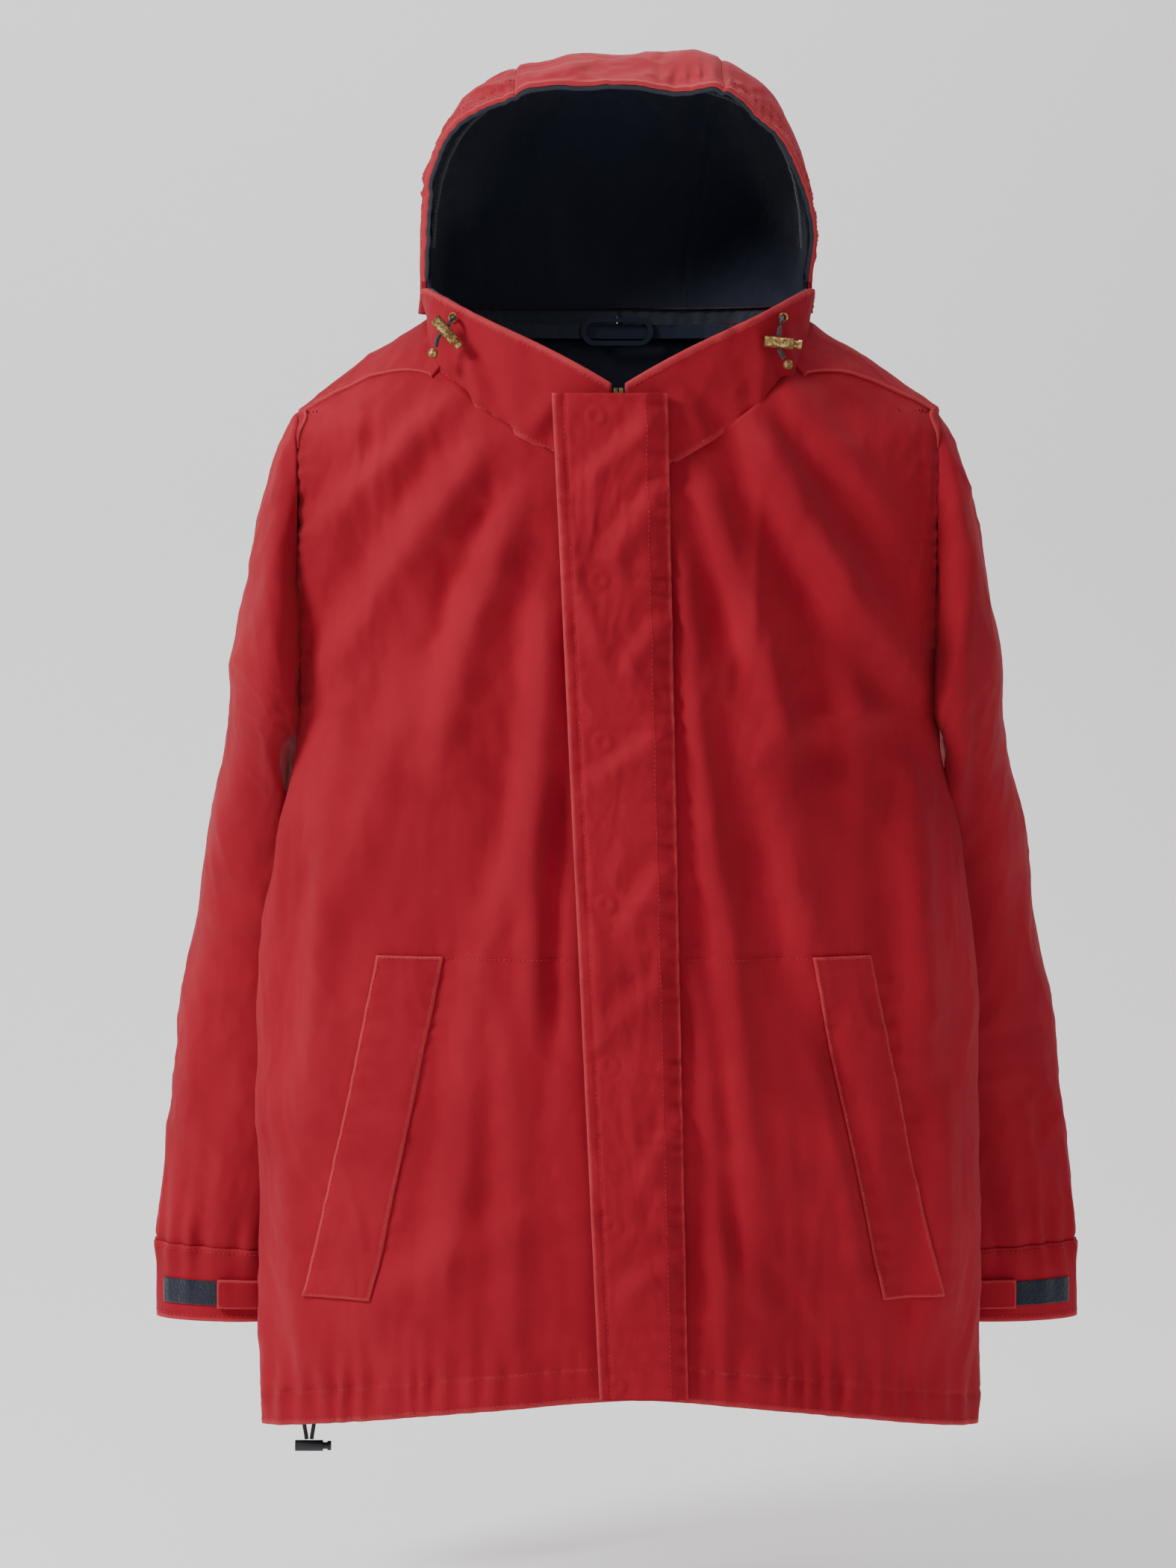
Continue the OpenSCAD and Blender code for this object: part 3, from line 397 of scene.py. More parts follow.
def sheet_mesh(name, grid, wear=None, wrap=False, flip=False, painted_shade_and_tone=None):
    """Faces between neighbouring points of a grid given in mm; wrap joins its ends in u."""
    nu, nv = grid.shape[:2]
    index = np.arange(nu * nv).reshape(nu, nv)
    if wrap:
        index = np.concatenate([index, index[:1]])
    quads = np.stack([index[:-1, :-1], index[1:, :-1], index[1:, 1:], index[:-1, 1:]], -1).reshape(-1, 4)
    quads = quads[:, ::-1] if flip else quads
    mesh = smooth_mesh(name, grid, quads.tolist())
    step_u = np.linalg.norm(np.diff(grid, axis=0, prepend=grid[:1]), axis=-1).cumsum(0)
    step_v = np.linalg.norm(np.diff(grid, axis=1, prepend=grid[:, :1]), axis=-1).cumsum(1)
    uv = np.stack([step_u, step_v], -1).reshape(-1, 2) * MM
    mesh.uv_layers.new(name="cloth").data.foreach_set("uv", uv[quads.ravel()].ravel())
    # The wear value is rubbed seams; the shade value is painted fold shade on panels and random tone on
    # sleeves.
    for label, values in (("wear", wear), ("painted_shade_and_tone", painted_shade_and_tone)):
        layer = mesh.attributes.new(label, "FLOAT", "POINT")
        values = np.zeros((nu, nv)) if values is None else np.broadcast_to(values, (nu, nv))
        layer.data.foreach_set("value", values.astype(np.float32).ravel())
    mesh.update()
    return new_object(name, mesh)


def many(name, middles, alongs, outs, size, sides=6, rows=3):
    """One mesh of many small rounded grains, such as stitches: each a short spindle on its own axes."""
    middles, alongs, outs = (np.asarray(v, float) for v in (middles, alongs, outs))
    alongs = alongs / np.linalg.norm(alongs, axis=1, keepdims=True)
    across = np.cross(outs, alongs)
    across /= np.linalg.norm(across, axis=1, keepdims=True)
    outs = np.cross(alongs, across)
    t = np.linspace(-1, 1, rows + 2)[1:-1]
    turn = 2 * np.pi * np.arange(sides) / sides
    half, wide, high = np.asarray(size, float) / 2
    ring = np.sqrt(1 - (t * 0.86) ** 2)
    local = [[-half, 0, 0]] + [
        [half * ti, wide * ri * math.cos(g), high * ri * math.sin(g)] for ti, ri in zip(t, ring) for g in turn
    ] + [[half, 0, 0]]
    local = np.array(local)
    faces = [[0, 1 + (s + 1) % sides, 1 + s] for s in range(sides)]
    for row in range(rows - 1):
        base, after = 1 + row * sides, 1 + (row + 1) * sides
        faces += [
            [base + s, base + (s + 1) % sides, after + (s + 1) % sides, after + s] for s in range(sides)
        ]
    base, last = 1 + (rows - 1) * sides, len(local) - 1
    faces += [[base + s, base + (s + 1) % sides, last] for s in range(sides)]
    points = (
        middles[:, None] + local[None, :, :1] * alongs[:, None] + local[None, :, 1:2] * across[:, None]
        + local[None, :, 2:3] * outs[:, None]
    )
    every = [[i + n * len(local) for i in face] for n in range(len(middles)) for face in faces]
    mesh = smooth_mesh(name, points, every)
    mesh.update()
    return new_object(name, mesh)


print("mesh makers ready")

# %% [markdown]
# Shader maths reads best as plain expressions. `Wire` wraps a socket, so
# `1 - mask` adds a Math node, and `Finish.node` adds any other node.

# %% Shader helpers
class Wire:
    """A socket whose +, -, * and ** add Math nodes."""

    def __init__(self, finish, socket):
        self.finish, self.socket = finish, socket

    def math(self, operation, a, b):
        return self.finish.node("ShaderNodeMath", {"operation": operation}, {0: a, 1: b})

    def __add__(self, other):
        return self.math("ADD", self, other)

    def __sub__(self, other):
        return self.math("SUBTRACT", self, other)

    def __mul__(self, other):
        return self.math("MULTIPLY", self, other)

    def __pow__(self, other):
        return self.math("POWER", self, other)

    def __rsub__(self, other):
        return self.math("SUBTRACT", other, self)

    __radd__, __rmul__ = __add__, __mul__


class Finish:
    """One material: its Principled shader, with a short way to add nodes."""

    def __init__(self, name, roughness, **constants):
        self.material = bpy.data.materials.new(name)
        self.material.use_nodes = True
        self.tree = self.material.node_tree
        self.shader = self.tree.nodes["Principled BSDF"]
        self.shader.inputs["Roughness"].default_value = roughness
        for label, value in constants.items():
            self.shader.inputs[label.replace("_", " ")].default_value = value

    def node(self, kind, settings=None, sockets=None, out=0):
        """Add a node of this kind, set its settings, then feed its sockets; gives output out."""
        made = self.tree.nodes.new(kind)
        for label, value in (settings or {}).items():
            setattr(made, label, value)
        for label, value in (sockets or {}).items():
            self.feed(made.inputs[label], value)
        return Wire(self, made.outputs[out])

    def feed(self, socket, value):
        """Link a wire to a socket, or set the socket's own value."""
        if isinstance(value, Wire):
            self.tree.links.new(value.socket, socket)
        else:
            socket.default_value = value

    def place(self, scale=1.0):
        """Object coordinates, in metres, times scale."""
        spot = self.node("ShaderNodeTexCoord", out="Object")
        return self.node("ShaderNodeVectorMath", {"operation": "SCALE"}, {0: spot, "Scale": scale})

    def grain(self, scale, detail=3.0, vector=None):
        """Noise of this many lumps to the metre."""
        where = self.place() if vector is None else vector
        return self.node(
            "ShaderNodeTexNoise", None, {"Vector": where, "Scale": scale, "Detail": detail, "Roughness": 0.6}
        )

    def ramp(self, wire, low, high):
        """0 below low, 1 above high, smooth between."""
        return self.node(
            "ShaderNodeMapRange", {"interpolation_type": "SMOOTHSTEP"},
            {"Value": wire, "From Min": low, "From Max": high},
        )

    def blend(self, amount, a, b):
        """Colour a where amount is 0 and b where it is 1."""
        made = self.tree.nodes.new("ShaderNodeMix")
        made.data_type = "RGBA"
        self.feed(made.inputs[0], amount)
        self.feed(made.inputs[6], a)
        self.feed(made.inputs[7], b)
        return Wire(self, made.outputs[2])

    def finish(self, colour=None, roughness=None, height=None, depth=0.0002, metallic=None):
        """Connect what varies over the surface."""
        for label, value in (("Base Color", colour), ("Roughness", roughness), ("Metallic", metallic)):
            if value is not None:
                self.feed(self.shader.inputs[label], value)
        if height is not None:
            bump = self.node("ShaderNodeBump", None, {"Height": height, "Distance": depth, "Strength": 1.0})
            self.feed(self.shader.inputs["Normal"], bump)
        return self.material


def weave(finish, pitch):
    """Plain weave on the cloth's UV map: threads over and under, one pitch in metres apart."""
    uv = finish.node("ShaderNodeUVMap", {"uv_map": "cloth"})
    parts = finish.tree.nodes.new("ShaderNodeSeparateXYZ")
    finish.feed(parts.inputs[0], uv)
    warp, weft = Wire(finish, parts.outputs[0]), Wire(finish, parts.outputs[1])
    turn = 2 * math.pi / pitch
    sine = lambda wire: finish.node("ShaderNodeMath", {"operation": "SINE"}, {0: wire * turn})
    return sine(warp) * sine(weft) * 0.5 + 0.5


# %% [markdown]
# The canvas has been washed many times. It is deep red, a little blotchy,
# paler and pinker on every seam and edge, and painted darker and lighter with
# the bends of its folds, which is painted shade. The mesh's wear value carries the seams; its shade value
# carries the painted fold shade, and on the sleeves a random tone.

# %% Cloth finishes
def cloth_finish(name, base, deep, pale, pitch, roughness, sheen, thread=0.35):
    """Woven cloth: blotches, threads, rubbed seams, painted fold shade and a weave in its relief."""
    f = Finish(name, roughness, Sheen_Weight=sheen, Sheen_Roughness=0.55, Specular_IOR_Level=0.22)
    wear = f.node("ShaderNodeAttribute", {"attribute_name": "wear"}, out="Fac")
    painted_shade_and_tone = f.node("ShaderNodeAttribute", {"attribute_name": "painted_shade_and_tone"}, out="Fac")
    blotch = f.ramp(f.grain(9.0, 4.0), 0.35, 0.7)
    fine = f.grain(900.0, 2.0)
    slub = f.grain(260.0, 3.0)
    colour = f.blend(blotch * 0.5, base, deep)
    # Painted shade: the shade value darkens the colour towards deep red. On panels it follows the bend of the
    # folds, and on sleeves it is random patches.
    colour = f.blend(f.ramp(painted_shade_and_tone, 0.0, 1.0) * 0.4, colour, deep)
    rubbed = f.ramp(wear + (slub - 0.5) * 0.5, 0.25, 1.0)
    colour = f.blend(rubbed * 0.75, colour, pale)
    colour = f.blend(f.ramp(fine, 0.45, 0.8) * thread, colour, pale)
    relief = weave(f, pitch) * 0.5 + fine * 0.3 + slub * 0.6
    return f.finish(colour, f.ramp(blotch, 0.0, 1.0) * 0.08 + roughness - 0.04, relief, 0.00022)


RED = (0.37, 0.003, 0.017, 1)
DEEP_RED = (0.23, 0.001, 0.010, 1)
PALE_RED = (0.52, 0.045, 0.055, 1)
canvas = cloth_finish("red_canvas", RED, DEEP_RED, PALE_RED, 0.0007, 0.76, 0.03, 0.05)
canvas_back = cloth_finish(
    "red_canvas_back", (0.5, 0.012, 0.022, 1), DEEP_RED, PALE_RED, 0.0007, 0.78, 0.1, 0.08
)
taffeta = cloth_finish(
    "navy_nylon", (0.006, 0.009, 0.026, 1), (0.003, 0.004, 0.013, 1),
    (0.02, 0.026, 0.055, 1), 0.0005, 0.5, 0.1, 0.25
)
twill = cloth_finish(
    "charcoal_twill", (0.021, 0.025, 0.04, 1), (0.012, 0.015, 0.026, 1),
    (0.07, 0.075, 0.1, 1), 0.0008, 0.85, 0.2, 0.3
)
tape_cloth = cloth_finish(
    "grey_tape", (0.10, 0.10, 0.11, 1), (0.05, 0.05, 0.055, 1), (0.25, 0.25, 0.26, 1), 0.0009, 0.8, 0.1, 0.3
)
thread_cloth = cloth_finish(
    "red_thread", (0.42, 0.012, 0.022, 1), (0.25, 0.006, 0.012, 1),
    (0.75, 0.18, 0.18, 1), 0.0004, 0.6, 0.1, 0.35
)

pile = Finish("hook_and_loop_pile", 0.9, Sheen_Weight=0.4, Specular_IOR_Level=0.2)
fuzz = pile.grain(1500.0, 4.0)
tuft = pile.grain(420.0, 3.0)
pile_colour = pile.blend(pile.ramp(fuzz, 0.4, 0.75), (0.004, 0.006, 0.014, 1), (0.035, 0.042, 0.07, 1))
pile = pile.finish(pile_colour, None, fuzz * 0.6 + tuft, 0.0008)

# %% [markdown]
# The cord is braided, so its relief is two sets of crossing spirals. The old
# brass has gone brown where hands don't reach and bright on its edges.

# %% Cord, brass, steel and plastic finishes
braid = Finish("braided_cord", 0.7, Sheen_Weight=0.25)
turns, counter = (
    braid.node("ShaderNodeTexWave", {"bands_direction": way}, {"Vector": braid.place(), "Scale": scale})
    for way, scale in (("DIAGONAL", 260.0), ("Z", 330.0))
)
braid_colour = braid.blend(turns * counter, (0.004, 0.004, 0.009, 1), (0.03, 0.032, 0.05, 1))
braid = braid.finish(braid_colour, None, turns + counter, 0.0003)

brass = Finish("aged_brass", 0.38)
patina = brass.ramp(brass.grain(420.0, 5.0), 0.42, 0.62)
scratch = brass.grain(2600.0, 2.0)
brass_colour = brass.blend(patina, (0.16, 0.085, 0.03, 1), (0.62, 0.42, 0.16, 1))
brass = brass.finish(brass_colour, 0.55 - patina * 0.25, scratch * 0.5 + patina, 0.00006, patina * 0.25 + 0.7)

steel = Finish("spring_steel", 0.35, Metallic=1.0)
drawn = steel.grain(1800.0, 2.0)
steel = steel.finish(steel.blend(drawn, (0.35, 0.35, 0.36, 1), (0.6, 0.6, 0.62, 1)), None, drawn, 0.00003)

black = Finish("black_plastic", 0.45)
mould = black.grain(1400.0, 3.0)
black = black.finish(
    black.blend(black.ramp(mould, 0.4, 0.7), (0.008, 0.008, 0.01, 1), (0.025, 0.025, 0.03, 1)),
    mould * 0.2 + 0.35, mould, 0.00005,
)


def wear_finish(piece, material):
    """Give a piece its material."""
    piece.data.materials.clear()
    piece.data.materials.append(material)


print("finishes:", len(bpy.data.materials))

# %% [markdown]
# `draped` takes a base surface and a height rule and gives the real cloth
# surface. Panels, seams and stitches all ask the same draped surface where the
# cloth is, so they stay together.

# %% Draped surfaces
def draped(base, height, outward=1.0, eu=0.05, ev=0.05):
    """The base surface moved along its own normal by height(points, u, v)."""

    def surface(u, v, lift=0.0):
        u, v = np.broadcast_arrays(np.asarray(u, float), np.asarray(v, float))
        p = base(u, v)
        n = np.cross(base(u + eu, v) - base(u - eu, v), base(u, v + ev) - base(u, v - ev))
        size = np.linalg.norm(n, axis=-1, keepdims=True)
        n = outward * n / np.maximum(size, 1e-9)
        return p + n * (height(p, u, v) + lift)[..., None], n

    return surface


# Each fold: from x, z to x, z, then width and height.
FRONT_FOLDS = [
    [84, -76, 215, -262, 15, 8], [62, -112, 118, -330, 13, 6], [108, -60, 205, -150, 12, 4.5],
    [48, -150, 74, -470, 11, 5], [140, -170, 190, -360, 16, 4.5], [70, -240, 150, -480, 15, 4],
    [-66, -132, -124, -330, 15, 7], [-92, -90, -196, -262, 16, 6], [-118, -58, -214, -170, 13, 4],
    [-50, -200, -72, -420, 13, 5.5], [-34, -330, -46, -520, 9, -5], [-130, -230, -186, -430, 18, 4],
    [-196, -330, -226, -560, 15, 5], [196, -310, 226, -540, 15, 5], [-100, -440, -120, -700, 15, 3.5],
    [86, -420, 98, -700, 12, 4.5], [62, -470, 70, -740, 10, 4], [-70, -480, -78, -730, 12, 3],
    [150, -500, 186, -690, 10, -4], [-236, -600, -214, -760, 14, 4], [232, -560, 214, -740, 14, 4],
    [100, -300, 200, -285, 14, 2.5], [-210, -300, -90, -330, 16, 2.5], [40, -560, 130, -610, 16, 2.4],
    [-60, -640, -180, -720, 17, 2.6], [120, -705, 60, -650, 13, 2.6], [-150, -150, -60, -190, 14, 2.2],
]
BACK_FOLDS = [
    [60, -120, 150, -420, 22, 7], [-60, -120, -140, -430, 22, 7], [0, -160, 10, -620, 26, 5],
    [120, -200, 205, -470, 18, 6], [-120, -190, -205, -480, 18, 6], [-90, -420, -130, -760, 20, 5],
    [85, -430, 120, -770, 20, 5], [-30, -500, -40, -780, 15, 4], [180, -420, 225, -700, 17, 5],
    [-180, -420, -228, -700, 17, 5], [-150, -300, 140, -330, 20, 2.5], [-120, -610, 130, -640, 24, 2.5],
]
POCKET_TOP_Z, POCKET_LEN, POCKET_X, POCKET_SLANT, WELT_W = -454.0, 246.0, 129.0, 52.0, 44.0
CASING_H, WAIST_SEAM_Z = 24.0, POCKET_TOP_Z + 2


def seam_dip(away, width=1.6, depth=1.0):
    """The groove that a row of stitching pulls into the cloth."""
    return -depth * np.exp(-((away / width) ** 2))


def welt_x(z):
    """Inner edge of the pocket opening at height z, as a distance from the centre front."""
    return POCKET_X + POCKET_SLANT * (POCKET_TOP_Z - z) / POCKET_LEN


def body_height(p, a, z):
    """Height of the front and back cloth above the plain body."""
    x, y, z = p[..., 0], p[..., 1], p[..., 2]
    front = smooth((-y / 30 + 1) / 2)
    side = np.abs(x - lean(z))
    under_flap = mix(1.0, smooth((side - 18) / 42), front)
    big = 1.5 * (front * folds(x, z, FRONT_FOLDS) + (1 - front) * folds(x, z, BACK_FOLDS))
    small = (
        crumple(p + 40, 62.0, 3.0) + crumple(p, 26.0, 1.1)
        + crumple(p + 70, 11.0, 0.3) + 2.2 * noise(p / 70 + 5)
    )
    hem_away = z - hem_z(np.abs(a)) - CASING_H
    gather = pucker(x, hem_away, 15.0, 20.0, 2.6, 1.0) * np.where(hem_away < 0, 1.3, 1.0)
    arm = (z > -ARMPIT_DROP) * pucker(z, (ARM_X - np.abs(x)) * 1.6, 13.0, 15.0, 1.4, 4.0)
    off = side - welt_x(z)
    above, below = POCKET_TOP_Z + 20 - z, z - POCKET_TOP_Z + POCKET_LEN + 20
    in_pocket = front * smooth(above / 20) * smooth(below / 20)
    pocket = in_pocket * (pucker(z, off - WELT_W, 17.0, 9.0, 0.9, 7.0) + pucker(z, off, 15.0, 10.0, 0.8, 9.0))
    waist = front * pucker(x, z - WAIST_SEAM_Z, 12.0, 8.0, 0.7, 3.0) * (side < POCKET_X + 40) + front * (
        seam_dip(z - WAIST_SEAM_Z) * (side < POCKET_X)
    )
    dips = seam_dip(hem_away) + (1 - front) * seam_dip(z - YOKE_BACK_Z)
    return under_flap * (big + small + pocket + waist) + gather * under_flap + arm + dips * under_flap


plain_body_cloth = draped(body_pt, body_height)


def body_cloth(a, z, lift=0.0):
    """The body's cloth at grid angle a: 0 centre front, 180 centre back, right half negative or above 180."""
    a, z = np.broadcast_arrays(np.asarray(a, float), np.asarray(z, float))
    a = np.where(a > 180, a - 360, a)
    return plain_body_cloth(np.sign(a) * squeeze(np.abs(a), z), z, lift)


def body_wear(p, a, z):
    """Rubbed pale along the hem, armholes, yoke and waist seams."""
    x, z = p[..., 0], p[..., 2]
    near = lambda d, w: np.exp(-((d / w) ** 2))
    hem_away = z - hem_z(np.abs(a))
    return np.maximum.reduce([
        near(hem_away, 4.0), 0.5 * near(hem_away - CASING_H, 3.0),
        0.35 * near(z - WAIST_SEAM_Z, 2.5) * (np.abs(x) < POCKET_X) * (p[..., 1] < 0),
        0.5 * near(ARM_X - np.abs(x), 4.0) * (z > -ARMPIT_DROP),
    ])


print("front folds:", len(FRONT_FOLDS), "back folds:", len(BACK_FOLDS))

# %% [markdown]
# The two fronts, the shoulders, the back and the yoke are cut from the same
# draped surface. Each is a grid about 3 mm fine. An edge that shows is folded
# under, so the cloth has its real thickness there.

# %% Body panels
YOKE_LIFT, SHOULDER_LIFT = 1.0, 1.8
OPENING_W = 8.4
YOKE_A, OPENING_A = 44.0, math.degrees(math.asin(OPENING_W / CHEST_W))


def neck_at(a):
    """Height of the neck seam at a grid angle, which is drawn in beside the armhole."""
    return neck_z(squeeze(a, neck_z(squeeze(a, neck_z(a)))))


def yoke_front_z(a):
    """The front yoke seam: near the neck at its inner end, down the shoulder at the armhole."""
    return mix(-SHOULDER_DROP - 12, neck_z(a) - 4, np.clip((90 - a) / (90 - YOKE_A), 0, 1) ** 0.8)


def rolled(surface, u, v, depth=3.0):
    """A cloth grid with its outer edges turned in: the border is repeated, lowered by depth."""
    top, n = surface(u, v)
    low = top - n * depth
    grid = np.concatenate([low[:1], top, low[-1:]])
    grid = np.concatenate([grid[:, :1], grid, grid[:, -1:]], 1)
    grid[1:-1, 0], grid[1:-1, -1] = low[:, 0], low[:, -1]
    grid[0, 0], grid[0, -1], grid[-1, 0], grid[-1, -1] = low[0, 0], low[0, -1], low[-1, 0], low[-1, -1]
    return grid


def spread(values):
    """Repeat the border of a value grid to match a rolled grid."""
    return np.pad(values, 1, mode="edge")


def cut(piece):
    """Give back the cloth piece as it is."""
    return piece


def stand_for(piece, node, blend=None):
    """Show the piece in place of the node, which is hidden: with a blend, the piece's placement is baked into
    its mesh; else it rides on the node's own body.
    """
    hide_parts(node)
    if blend:
        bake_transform(piece)
    else:
        body_nodes = frame["record"]["behaviour"]["bodies"]
        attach(piece, next(body for body, nodes in body_nodes.items() if node in nodes))


def panel(name, surface, u, v, wear, material, replaces, blend=None, flip=False):
    """Make one cloth panel, with its finish, and let it stand for its node."""
    grid = rolled(surface, u, v)
    worn = spread(np.broadcast_to(wear, np.broadcast(u, v).shape))
    base = surface(u, v)[0]
    # Painted fold shade: a shade value from how the draped cloth bends across the panel, which darkens its
    # colour.
    bulge = (base - 0.5 * (np.roll(base, 3, 0) + np.roll(base, -3, 0)))[..., 1]
    painted_fold_shade = spread(np.clip(0.5 - 0.12 * bulge, 0, 1))
    piece = sheet_mesh(name, grid, worn, flip=flip, painted_shade_and_tone=painted_fold_shade)
    wear_finish(piece, material)
    stand_for(piece, replaces, blend)
    return cut(piece)


def front_grid(side, nu, nv, a0, top):
    """Angles and heights of one front, from the opening to the side seam."""
    u, v = unit_grid(nu, nv)
    a = mix(a0, 90.0, u)
    return side * a, mix(hem_z(a), top(a), v)


for side, word in SIDES:
    top = lambda a: np.where(a < YOKE_A, neck_at(a) + 3, np.minimum(yoke_front_z(a) + 9, neck_at(a)))
    a, z = front_grid(side, 110, 230, OPENING_A, top)
    panel(
        f"cloth_front_{word}", body_cloth, a, z, body_wear(body_cloth(a, z)[0], a, z),
        canvas, f"front_panel_{word}", flip=side < 0,
    )
    u, v = unit_grid(70, 50)
    a = mix(YOKE_A - 2, 90.0, u)
    z = mix(yoke_front_z(a) - 2, neck_at(a) + 3, v)
    panel(
        f"cloth_shoulder_{word}", lambda a, z: body_cloth(a, z, SHOULDER_LIFT), side * a, z,
        np.maximum(np.exp(-(v * 14) ** 2), body_wear(body_cloth(side * a, z)[0], a, z)),
        canvas, f"shoulder_{word}", flip=side < 0,
    )

for name, z_low, z_high, rows, node, lift in (
    ("cloth_back", None, YOKE_BACK_Z, 190, "back_panel", 0.0),
    ("cloth_yoke", YOKE_BACK_Z, NECK_TOP_Z + 1, 60, "back_yoke", YOKE_LIFT),
):
    u, v = unit_grid(190, rows)
    a = mix(90.0, 270.0, u)
    low = hem_z(np.where(a > 180, 360 - a, a)) if z_low is None else z_low - 1
    z = mix(low, z_high, v)
    panel(
        name, lambda a, z, lift=lift: body_cloth(a, z, lift), a, z, body_wear(body_cloth(a, z)[0], a, z),
        canvas, node,
    )

# %% [markdown]
# Inside, the lining, the facings, the hem casing and the pocket bags follow
# the same folds a few millimetres further in, so nothing pokes through.

# %% Inner layers
LINING_LIFT, FACING_LIFT, CASING_LIFT, POCKET_LIFT = -4.2, -3.2, -2.6, -6.0


def layer(name, side, angles, heights, lift, material, slot, node):
    """An inner cloth: the body's draped surface lowered by lift."""
    a, z = np.broadcast_arrays(side * angles, heights)
    panel(name, lambda p, q: body_cloth(p, q, lift), a, z, 0.0, material, node, flip=side > 0)


for side, word in SIDES:
    a, z = front_grid(side, 60, 120, 2.8, lambda a: neck_z(a) - 2)
    layer(
        f"lining_front_{word}", side, np.abs(a), z + 1.5, LINING_LIFT, taffeta, "navy_lining", "lining_fronts"
    )
    u, v = unit_grid(18, 160)
    a = mix(3.0, 14.0, u)
    z = mix(hem_z(a) + 2, neck_z(a) - 4, v)
    layer(f"facing_front_{word}", side, a, z, FACING_LIFT, canvas_back, "red_shell", "front_facings")
    z = mix(POCKET_TOP_Z - POCKET_LEN, POCKET_TOP_Z - 10, v[:, :70] / v[0, 69])
    x = mix(welt_x(z) - 60, welt_x(z) + 10, u[:, :70])
    layer(
        f"pocket_bag_{word}", side, np.degrees(np.arcsin(x / body_w(z))), z, POCKET_LIFT,
        taffeta, "navy_lining", "pocket_bags",
    )

u, v = unit_grid(110, 130)
a = mix(91.0, 269.0, u)
z = mix(HEM_SIDE_Z + 1.5, NECK_TOP_Z, v)
layer("lining_back_cloth", 1, a, z, LINING_LIFT, taffeta, "navy_lining", "lining_back")
u, v = unit_grid(260, 9)
a = mix(16.0, 344.0, u)
hem_a = np.where(a > 180, 360 - a, a)
z = hem_z(hem_a) + 1 + CASING_H * v
layer("hem_casing_cloth", 1, a, z, CASING_LIFT, canvas_back, "red_shell", "hem_casing")
print("inner layers hung")

# %% [markdown]
# The collar stands 76 mm high in front. The hood is one draped surface cut
# into two sides and a centre strip, with a twill facing just inside its edge.

# %% Collar and hood
def collar_base(a, v, k=0.0):
    """The collar at signed angle a, its right half the mirror of its left but for the lean."""
    p = collar_pt(np.abs(a), v, k)
    share = np.maximum(np.cos(np.radians(a)), 0.0) ** 2
    x = np.where(a < 0, 2 * lean(p[..., 2]) * share - p[..., 0], p[..., 0])
    return np.stack([x, p[..., 1], p[..., 2]], -1)


COLLAR_FOLDS = [
    [60, -98, 40, -58, 8, 2.2], [-62, -100, -44, -62, 8, 2.2],
    [92, -74, 104, -30, 8, 2.0], [-96, -72, -108, -28, 8, 2.0],
    [24, -120, 30, -66, 7, 1.6], [118, -52, 120, -10, 7, 1.6], [-120, -48, -122, -8, 7, 1.6],
]


def collar_height(p, a, v):
    """Small bends, and puckers at the neck seam and the top edge."""
    along = np.radians(a) * 130
    rise = COLLAR_SIDE_H + (COLLAR_H - COLLAR_SIDE_H) * np.maximum(np.cos(np.radians(a)), 0.0) ** 1.4
    bends = folds(p[..., 0], p[..., 2], COLLAR_FOLDS) * (p[..., 1] < 0)
    ripple = pucker(along, v * rise, 12.0, 9.0, 1.3, 2.0) + pucker(along, (1 - v) * rise, 10.0, 5.0, 0.7, 6.0)
    free = smooth((np.abs(a) - 0.6) / 6)
    return (1.6 * bends + crumple(p, 34.0, 1.8) + 2.0 * noise(p / 40) + ripple) * free * 0.9


collar_cloth = draped(collar_base, collar_height, ev=0.01)
for side, word in SIDES:
    u, v = unit_grid(170, 34)
    a = side * mix(OPENING_A * 1.05, 179.9, u**1.15)
    edge_wear = np.maximum(np.exp(-((1 - v) * 12) ** 2), 0.7 * np.exp(-(v * 10) ** 2))
    panel(
        f"cloth_collar_{word}", lambda a, v: collar_cloth(a, v, 0.6), a, v, edge_wear,
        canvas, f"collar_{word}", flip=side < 0,
    )
    panel(
        f"collar_lining_{word}", lambda a, v: collar_cloth(a, v * 0.985, -2.6), a, v, 0.0,
        twill, "collar_linings", flip=side > 0,
    )

HOOD_FOLDS = [
    [-110, 60, -60, 170, 16, 4], [112, 50, 70, 168, 16, 4], [-20, 170, -90, 120, 14, 3],
    [40, 178, 100, 140, 14, 3], [-128, 20, -132, 110, 10, 3], [128, 10, 134, 100, 10, 3],
]


def hood_base(w, t):
    """The hood with its face edge at t = 0, its nape tucked down behind the collar's top."""
    p = hood_pt(w, t)
    return p - np.stack([w * 0, w * 0, HOOD_TUCK * smooth((t - 0.9) / 0.1)], -1)


def hood_height(p, w, t):
    """Soft dents over the head, crumples, and puckers along the face edge."""
    along = w * 300
    dents = 5.5 * noise(p / 58 + 2) + crumple(p + 11, 44.0, 2.4) + 0.7 * crumple(p, 19.0, 1.0)
    edge = pucker(along, t * 430 - 20, 15.0, 14.0, 2.0, 5.0)
    seams = seam_dip((np.abs(w) - HOOD_U) * 190, 2.0, 1.4)
    return (dents + folds(p[..., 0], p[..., 2], HOOD_FOLDS)) * smooth((1.02 - np.abs(w)) / 0.1) + edge + seams


